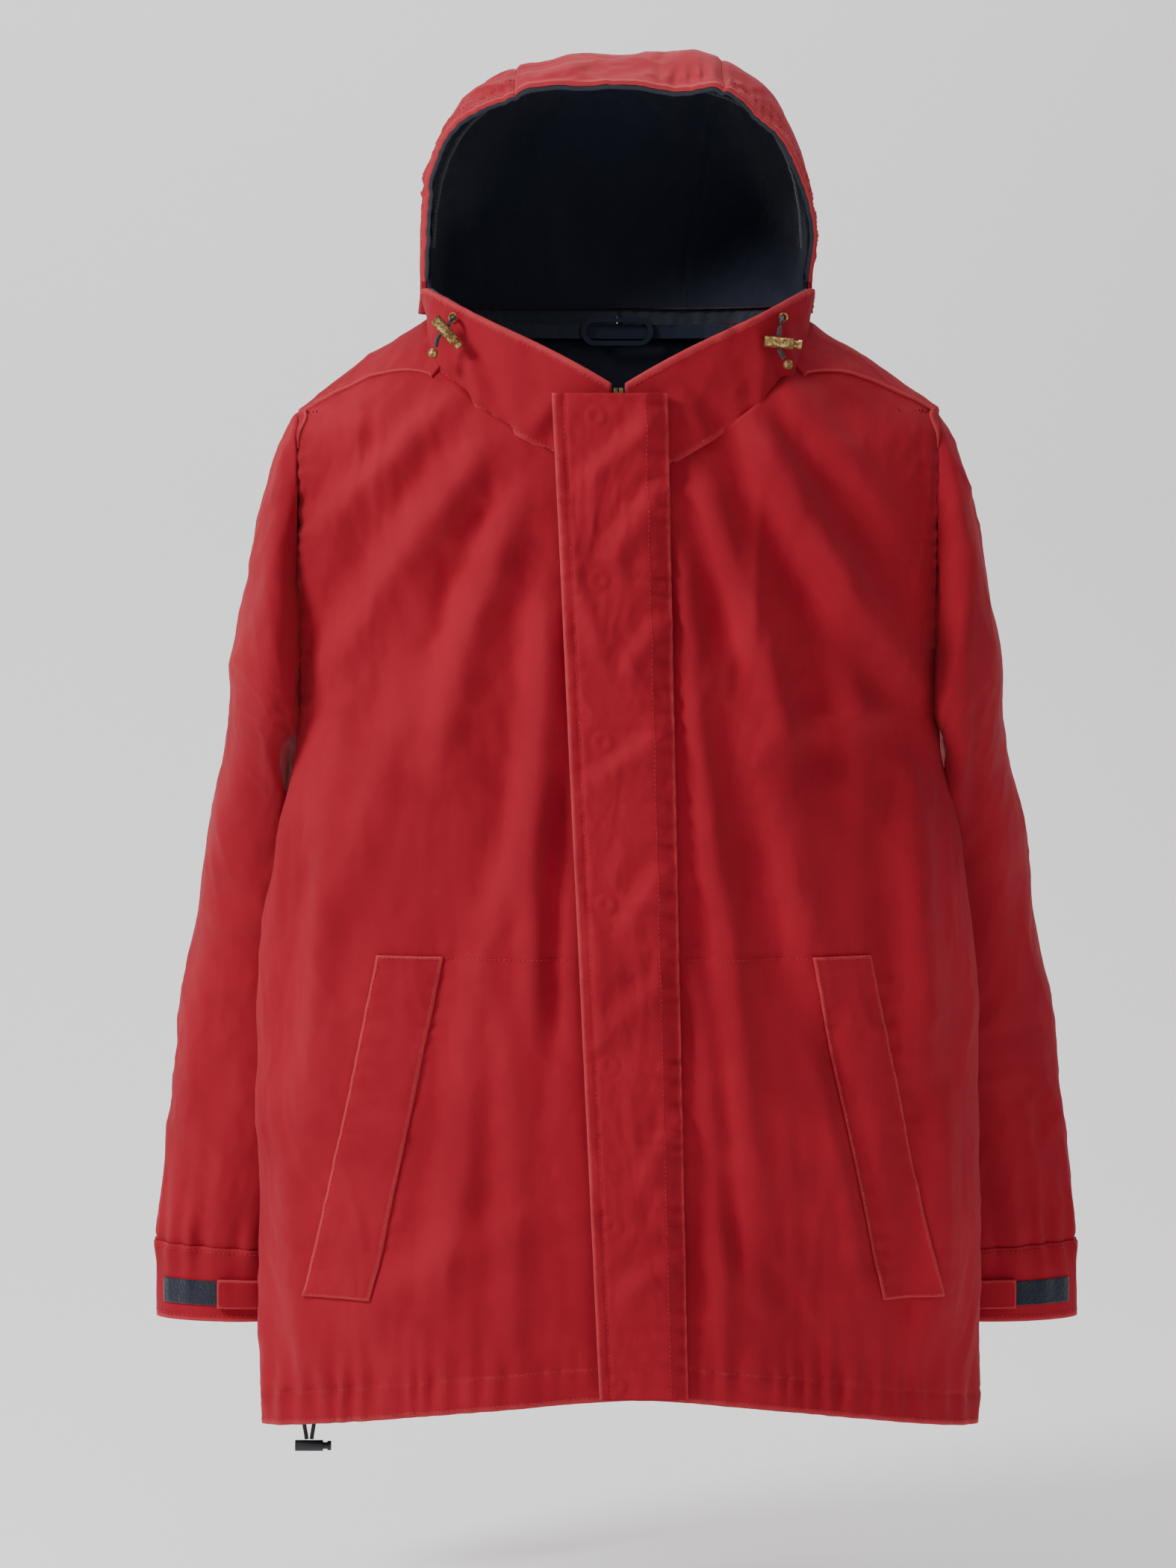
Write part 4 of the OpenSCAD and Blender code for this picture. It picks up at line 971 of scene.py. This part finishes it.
hood_cloth = draped(hood_base, hood_height, eu=0.002, ev=0.002)
HOOD_BEND = ("jacket", "hood", (0.0, 0.0, 0.006), (0.0, 0.0, 0.06))
for name, w0, w1, nu in (
    ("side_left", HOOD_U, HOOD_LOW, 90), ("side_right", -HOOD_LOW, -HOOD_U, 90),
    ("centre", -HOOD_U, HOOD_U, 110),
):
    w, t = np.meshgrid(np.linspace(w0, w1, nu), np.linspace(0, 1, 150) ** 1.1, indexing="ij")
    lift = 0.9 if name == "centre" else 0.0
    edge_wear = np.maximum(np.exp(-(t * 70) ** 2), 0.6 * np.exp(-((np.abs(w) - HOOD_U) * 60) ** 2))
    panel(
        f"cloth_hood_{name}", lambda w, t, lift=lift: hood_cloth(w, t, lift), w, t, edge_wear,
        canvas, f"hood_{name}", blend=HOOD_BEND,
    )
FACING_T = HOOD_FACING_W / (HOOD_H * 2.4)
for name, t0, t1, rows, lift, finish, slot_name, node in (
    ("hood_facing_cloth", 0.0, FACING_T, 24, -2.6, twill, "charcoal_facing", "hood_facing"),
    ("hood_lining_cloth", FACING_T * 0.9, 0.985, 100, -3.6, taffeta, "navy_lining", "hood_lining"),
):
    w, t = np.meshgrid(np.linspace(-HOOD_LOW, HOOD_LOW, 200), np.linspace(t0, t1, rows), indexing="ij")
    panel(
        name, lambda w, t, lift=lift: hood_cloth(w, t, lift), w, t, 0.0,
        finish, node, blend=HOOD_BEND, flip=True,
    )
print("collar and hood hung")

# %% [markdown]
# A sleeve hangs in long folds from the shoulder. The cuff's elastic gathers
# it, so the ripples are deepest at the cuff seam.

# %% Sleeves and cuffs
def sleeve_base(s, v, side, k=0.0):
    """The left sleeve, or its mirror image."""
    p = sleeve_pt(s, v, k)
    return np.stack([side * p[..., 0], p[..., 1], p[..., 2]], -1)


def sleeve_height(p, s, v):
    """Long folds down the arm, creases at the elbow, gathers at the cuff seam."""
    girth = np.radians(s) * 44
    ring = np.stack([np.cos(np.radians(s)), np.sin(np.radians(s)), v], -1)
    long_folds = 5.5 * noise(ring * np.array([1.5, 1.5, 2.6]) + 11 + np.sign(p[..., :1])) * smooth(v / 0.12)
    bends = crumple(p, 58.0, 3.0, (1.0, 1.0, 0.8)) + crumple(p + 30, 24.0, 1.0)
    cuff_away = (v - CUFF_V) * SLEEVE_LEN
    wave = np.sin(np.radians(s) * 17 + 2.5 * noise(ring * 2.1 + 5)) * (0.6 + 0.4 * noise(ring * 5))
    gathers = 2.6 * wave * np.exp(-np.abs(cuff_away) / np.where(cuff_away < 0, 34.0, 20.0))
    arm = pucker(girth, v * SLEEVE_LEN, 14.0, 12.0, 1.2, 8.0)
    free = smooth(v / 0.03) * (1 - 0.8 * smooth((v - CUFF_V) / 0.03))
    return (long_folds + bends) * free + gathers + arm * smooth(v / 0.01) + seam_dip(cuff_away, 2.4, 1.6)


def ring_piece(name, surface, v, wear, side, material, node, blend=None, inner=False):
    """A tube of cloth all round the arm."""
    s, v = np.meshgrid(np.arange(168) * 360 / 168, v, indexing="ij")
    grid = surface(s, v)[0]
    worn = np.broadcast_to(wear(v), v.shape)
    painted_shade_and_tone = np.clip(0.5 + 0.2 * noise(grid / 30), 0, 1)
    piece = sheet_mesh(name, grid, worn, wrap=True, flip=(side > 0) != inner, painted_shade_and_tone=painted_shade_and_tone)
    wear_finish(piece, material)
    stand_for(piece, node, blend)
    return cut(piece)


TAB_S, TAB_V = -76.0, 1 - 26 / SLEEVE_LEN
TAB_ARC, PATCH_ARC = (360 * length / (math.pi * (CUFF_W + CUFF_D)) for length in (66.0, 76.0))
sleeve_cloth = {}
for side, word in SIDES:
    cloth = draped(
        lambda s, v, side=side: sleeve_base(s, v, side), sleeve_height, outward=-side, eu=0.5, ev=0.001
    )
    sleeve_cloth[word] = cloth
    bend = ("jacket", f"{word}_sleeve", (side * 0.2262, 0.0, -0.2), (side * 0.245, 0.0, -0.2))
    ring_piece(
        f"cloth_sleeve_{word}", cloth, np.linspace(0, CUFF_V + 0.004, 210),
        lambda v: 0.6 * np.exp(-(v * 140) ** 2), side, canvas, f"sleeve_{word}", bend,
    )
    rows = np.concatenate([np.linspace(CUFF_V, 1.0, 40), np.linspace(0.999, 0.975, 6)])

    def cuff_surface(s, v, cloth=cloth):
        """Outside down to the edge, then a few rows back up inside."""
        inside = np.arange(s.shape[1]) >= 40
        return cloth(s, v, np.where(inside, -2.2, 1.3)[None, :] * np.ones_like(v))

    near = lambda v: np.maximum(np.exp(-((1 - v) * 170) ** 2), 0.5 * np.exp(-((v - CUFF_V) * 200) ** 2))
    ring_piece(f"cloth_cuff_{word}", cuff_surface, rows, near, side, canvas, f"cuff_{word}")
    ring_piece(
        f"sleeve_lining_{word}_cloth", lambda s, v, cloth=cloth: cloth(s, v, -4.0),
        np.linspace(0.02, CUFF_V + 0.02, 120), lambda v: v * 0, side,
        taffeta, f"sleeve_lining_{word}", inner=True,
    )
    ring_piece(
        f"cuff_elastic_{word}_cloth", lambda s, v, cloth=cloth: cloth(s, v, -3.0),
        np.linspace(0.951, 0.974, 8), lambda v: v * 0, side,
        tape_cloth, f"cuff_elastic_{word}", inner=True,
    )
    for node, s0, s1, high, lift, finish, slot_name in (
        ("loop_patch", TAB_S - PATCH_ARC / 2, TAB_S + PATCH_ARC, 22.0, 2.3, pile, "hook_and_loop"),
        ("hook_patch", TAB_S - TAB_ARC * 0.45, TAB_S - 2, 22.0, 3.4, pile, "hook_and_loop"),
        ("cuff_tab", TAB_S - TAB_ARC, TAB_S, 26.0, 5.2, canvas, "red_shell"),
    ):
        u, v = unit_grid(60, 20)
        around, down = mix(s0, s1, u), TAB_V + (v - 0.5) * high / SLEEVE_LEN
        edge = np.exp(-((np.minimum(v, 1 - v) * high / 2) ** 2)) + np.exp(-(((1 - u) * 30) ** 2))
        panel(
            f"cloth_{node}_{word}", lambda s, v, cloth=cloth, lift=lift: cloth(s, v, lift), around, down,
            np.clip(edge, 0, 1), finish, f"{node}_{word}", flip=side > 0,
        )
print("sleeves hung")

# %% [markdown]
# The storm flap is sewn along the wearer's left of the zip and laps over it.
# Seven snaps underneath press round marks into its cloth.

# %% Storm flap and pocket welts
SNAP_X, SNAP_TOP_Z, SNAP_COUNT, SNAP_D = -16.0, FRONT_TOP_Z - 20, 7, 14.0
FLAP_STITCH = 8
SNAP_PITCH = (SNAP_TOP_Z - HEM_FRONT_Z - 12) / (SNAP_COUNT - 1)


def flap_width(z):
    """Flap width, narrower towards the hem."""
    return mix(FLAP_HEM_W, FLAP_TOP_W, (z - FLAP_BOTTOM_Z) / (FLAP_TOP_Z - FLAP_BOTTOM_Z))


def flap_base(u, z):
    """The flap from its sewn edge (u = 0) to its free edge (u = 1), lifted clear of the snaps."""
    return line_pt(FLAP_HINGE_X - u * flap_width(z), z, mix(-3.0, -8.2, smooth(u / 0.22)))


FLAP_FOLDS = [
    [30, -80, -30, -120, 9, 2.4], [34, -120, -10, -190, 9, 2.6],
    [34, -210, 4, -260, 8, 2.2], [30, -300, -30, -330, 9, 2], [34, -380, 0, -440, 9, 2.2],
    [30, -470, -20, -500, 9, 2],
    [34, -560, 10, -620, 8, 2.2], [34, -660, -10, -700, 9, 2],
    [-34, -150, -14, -250, 8, 1.6], [-30, -420, -14, -540, 8, 1.6],
]


def flap_height(p, u, z):
    """Creases from the sewn edge, crumples, and the snaps' round marks; never far inwards."""
    x = p[..., 0] - lean(z)
    creases = folds(x, z, FLAP_FOLDS)
    ripple = pucker(z, u * 70, 16.0, 18.0, 1.7, 3.0) + pucker(z, (1 - u) * 70 - 6, 13.0, 7.0, 0.7, 1.0)
    nearest = np.round((SNAP_TOP_Z - z) / SNAP_PITCH).clip(0, SNAP_COUNT - 1)
    away = np.hypot(x - SNAP_X, z - SNAP_TOP_Z + nearest * SNAP_PITCH)
    disc = 0.9 * smooth((SNAP_D / 2 + 1.2 - away) / 2.0) - 0.7 * smooth((SNAP_D / 4 - away) / 2.0)
    rest = crumple(p, 30.0, 1.7) + crumple(p + 9, 14.0, 0.6)
    quiet = smooth((away - 4) / 14)
    cloth = np.maximum((1.3 * creases + rest + 0.8) * quiet + ripple, -0.8)
    return cloth + disc + seam_dip((1 - u) * flap_width(z) - FLAP_STITCH)


flap_cloth = draped(flap_base, flap_height, outward=-1.0, eu=0.002, ev=0.2)
u, z = np.meshgrid(np.linspace(0, 1, 56), np.linspace(FLAP_BOTTOM_Z, FLAP_TOP_Z, 400), indexing="ij")
flap_wear = np.maximum(np.exp(-((1 - u) * 24) ** 2), 0.8 * np.exp(-(u * 20) ** 2))
FLAP_BEND = ("jacket", "flap", (0.037, 0.0, 0.0), (0.026, 0.0, 0.0))
panel(
    "cloth_flap", lambda u, z: flap_cloth(u, z, 0.3), u, z, flap_wear,
    canvas, "storm_flap", blend=FLAP_BEND, flip=True,
)
panel(
    "flap_facing_cloth", lambda u, z: flap_cloth(0.02 + 0.95 * u, z, -1.8), u, z * 0.998 - 0.6, flap_wear * 0,
    canvas_back, "flap_facing", blend=FLAP_BEND,
)


def on_front(x, z):
    """Signed body angle of the point at distance x from the centre line, at height z."""
    return np.degrees(np.arcsin(np.clip(x / body_w(z), -1, 1)))


for side, word in SIDES:
    u, v = unit_grid(26, 120)
    z = POCKET_TOP_Z - POCKET_LEN * (1 - v)
    x = welt_x(z) + u * WELT_W
    edge = np.minimum(np.minimum(u, 1 - u) * WELT_W, np.minimum(v, 1 - v) * POCKET_LEN)
    panel(
        f"cloth_welt_{word}", lambda a, z: body_cloth(a, z, 1.9), side * on_front(x, z), z,
        np.exp(-((edge / 2.2) ** 2)), canvas, f"welt_{word}", flip=side < 0,
    )
print("flap and welts hung")

# %% [markdown]
# Every seam is sewn with a thread a little darker than the cloth. A stitch is
# a small spindle that lies along its seam on the cloth's own surface.

# %% Stitches
def stitch_row(surface, u, v, lift=0.25, pitch=3.4):
    """Stitches this far apart along the line (u, v) on a draped surface."""
    path, out = surface(np.asarray(u, float), np.asarray(v, float))
    step = np.concatenate([[0], np.linalg.norm(np.diff(path, axis=0), axis=-1).cumsum()])
    at = np.arange(pitch / 2, step[-1], pitch)
    middle = np.stack([np.interp(at, step, path[:, i]) for i in range(3)], -1)
    outward = np.stack([np.interp(at, step, out[:, i]) for i in range(3)], -1)
    return middle + outward * lift, np.gradient(middle, axis=0), outward


def sew(name, rows, body):
    """One mesh for all the stitches of a body."""
    middles, alongs, outs = (np.concatenate([row[i] for row in rows]) for i in range(3))
    piece = many(name, middles, alongs, outs, (2.5, 0.62, 0.5), sides=5, rows=2)
    wear_finish(piece, thread_cloth)
    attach(piece, body)
    return piece


line = np.linspace(0, 1, 900)
rows = []
for first in (1, -1):
    a = first * mix(OPENING_A + 0.6, 89.5, line)
    rows.append(stitch_row(body_cloth, a, hem_z(np.abs(a)) + CASING_H))
    rows.append(stitch_row(body_cloth, a, hem_z(np.abs(a)) + 3.5))
    ya = mix(YOKE_A, 89.0, line)
    rows.append(stitch_row(body_cloth, first * ya, yoke_front_z(ya) + 3.0, 1.3))
    for inset in (1.6, WELT_W - 1.6):
        z = POCKET_TOP_Z - POCKET_LEN * line
        rows.append(stitch_row(body_cloth, first * on_front(welt_x(z) + inset, z), z, 2.2))
    for z0 in (POCKET_TOP_Z - 1.8, POCKET_TOP_Z - POCKET_LEN + 1.8):
        x = welt_x(z0) + WELT_W * line
        rows.append(stitch_row(body_cloth, first * on_front(x, x * 0 + z0), x * 0 + z0, 2.2))
    x = mix(40.0 if first > 0 else 20.0, POCKET_X - 1, line)
    rows.append(stitch_row(body_cloth, first * on_front(x, x * 0 + WAIST_SEAM_Z), x * 0 + WAIST_SEAM_Z - 3))
    ca = first * mix(2.5, 179.0, line)
    rows.append(stitch_row(collar_cloth, ca, line * 0 + 0.93, 0.9))
    rows.append(stitch_row(collar_cloth, ca, line * 0 + 0.06, 0.9))
a = mix(90.5, 269.5, line)
rows.append(stitch_row(body_cloth, a, a * 0 + HEM_SIDE_Z + CASING_H))
rows.append(stitch_row(body_cloth, a, a * 0 + YOKE_BACK_Z + 4, 1.3))
sew("stitches_body", rows, "jacket")
rows = [
    stitch_row(hood_cloth, sign * (line * 0 + HOOD_U - 0.012), mix(0.0, 0.98, line), 1.1) for sign in (1, -1)
]
rows += [stitch_row(hood_cloth, mix(-0.93, 0.93, line), line * 0 + t, 0.3) for t in (0.012, 0.062)]
sew("stitches_hood", rows, "hood")
z = mix(FLAP_BOTTOM_Z + 3, FLAP_TOP_Z - 3, line)
rows = [
    stitch_row(flap_cloth, 1 - FLAP_STITCH / flap_width(z), z, 0.5), stitch_row(flap_cloth, z * 0 + 0.2, z, 0.5)
]
sew("stitches_flap", rows, "flap")
for side, word in SIDES:
    rows = [stitch_row(sleeve_cloth[word], 360 * line, line * 0 + 1 - 5 / SLEEVE_LEN, 1.5)]
    rows.append(stitch_row(sleeve_cloth[word], 360 * line, line * 0 + CUFF_V + 3 / SLEEVE_LEN, 1.5))
    sew(f"stitches_{word}_sleeve", rows, f"{word}_sleeve")

# %% [markdown]
# The zip's two rows of teeth mesh half a pitch apart. The other hard pieces
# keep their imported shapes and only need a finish.

# %% Zip teeth and hard pieces
TOOTH_PITCH, TOOTH_SIZE = 2.4, (1.3, 2.6, 2.5)
teeth = []
for side in (-1, 1):
    z = np.arange(HEM_FRONT_Z + 32 + (side > 0) * TOOTH_PITCH / 2, FRONT_TOP_Z - 4, TOOTH_PITCH)
    teeth.append(line_pt(side * 1.7 + z * 0, z, 0.6))
teeth = np.concatenate(teeth)
zip_row = many("zip_teeth_cut", teeth, teeth * 0 + [0, 0, 1], teeth * 0 + [0, -1, 0], TOOTH_SIZE, sides=8)
wear_finish(zip_row, black)
stand_for(zip_row, "zip_teeth")

HARD = {
    brass: [
        "hood_eyelets", "hood_lock_left", "hood_lock_right", "hood_lock_plunger_left",
        "hood_lock_plunger_right", "cord_beads", "snap_sockets", "snap_studs", "zip_stops", "zip_box", "zip_slider", "zip_pull",
    ],
    steel: ["hood_lock_spring_left", "hood_lock_spring_right"],
    black: ["hem_lock", "hem_lock_plunger"],
    braid: ["hood_drawcord", "hood_cord_loops", "hem_drawcord"],
    tape_cloth: ["zip_tapes"],
    taffeta: ["neck_tape", "hang_loop"],
}
for material, nodes in HARD.items():
    for node in nodes:
        bpy.data.objects[node].data.materials.clear()
        bpy.data.objects[node].data.materials.append(material)
print("hard pieces:", sum(map(len, HARD.values())))

# %% [markdown]
# A pale floor turns up into a pale wall, and three large lamps give soft,
# nearly even light, brightest from the upper left.

# %% Floor and light
turn = np.linspace(0, np.pi / 2, 24)
FLOOR_Z, COVE_Y, COVE_R = -0.95, 1.0, 0.8
cove = [(COVE_Y + COVE_R * math.sin(g), FLOOR_Z + COVE_R * (1 - math.cos(g))) for g in turn]
profile = [(-3.5, FLOOR_Z)] + cove + [(COVE_Y + COVE_R, 3.0)]
floor_points = [(x, y, z) for y, z in profile for x in (-4.0, 4.0)]
floor_faces = [(2 * i, 2 * i + 1, 2 * i + 3, 2 * i + 2) for i in range(len(profile) - 1)]
floor_mesh = bpy.data.meshes.new("floor")
floor_mesh.from_pydata(floor_points, [], floor_faces)
floor_mesh.polygons.foreach_set("use_smooth", np.ones(len(floor_faces), bool))
floor = new_object("floor", floor_mesh)
pale = Finish("pale_floor", 0.9, Specular_IOR_Level=0.1)
pale.shader.inputs["Base Color"].default_value = (0.95, 0.95, 0.95, 1)
floor_mesh.materials.append(pale.material)

LAMPS = [
    ("key", (-2.1, -1.1, 1.3), 0.7, 80.0), ("fill", (1.6, -2.6, 0.9), 1.6, 12.0),
    ("back", (0.0, 0.6, 2.4), 2.0, 60.0),
]
for name, place, size, power in LAMPS:
    lamp_data = bpy.data.lights.new(name, "AREA")
    lamp_data.size, lamp_data.energy = size, power
    lamp = bpy.data.objects.new(name, lamp_data)
    lamp.location = place
    aim = np.array([0.0, 0.0, -0.35]) - np.array(place)
    lamp.rotation_euler = (
        math.atan2(math.hypot(aim[0], aim[1]), -aim[2]), 0.0, math.atan2(-aim[0], aim[1])
    )
    bpy.context.scene.collection.objects.link(lamp)
world = bpy.data.worlds.new("studio")
world.use_nodes = True
world.node_tree.nodes["Background"].inputs["Color"].default_value = (0.95, 0.96, 1.0, 1)
world.node_tree.nodes["Background"].inputs["Strength"].default_value = 0.34
bpy.context.scene.world = world
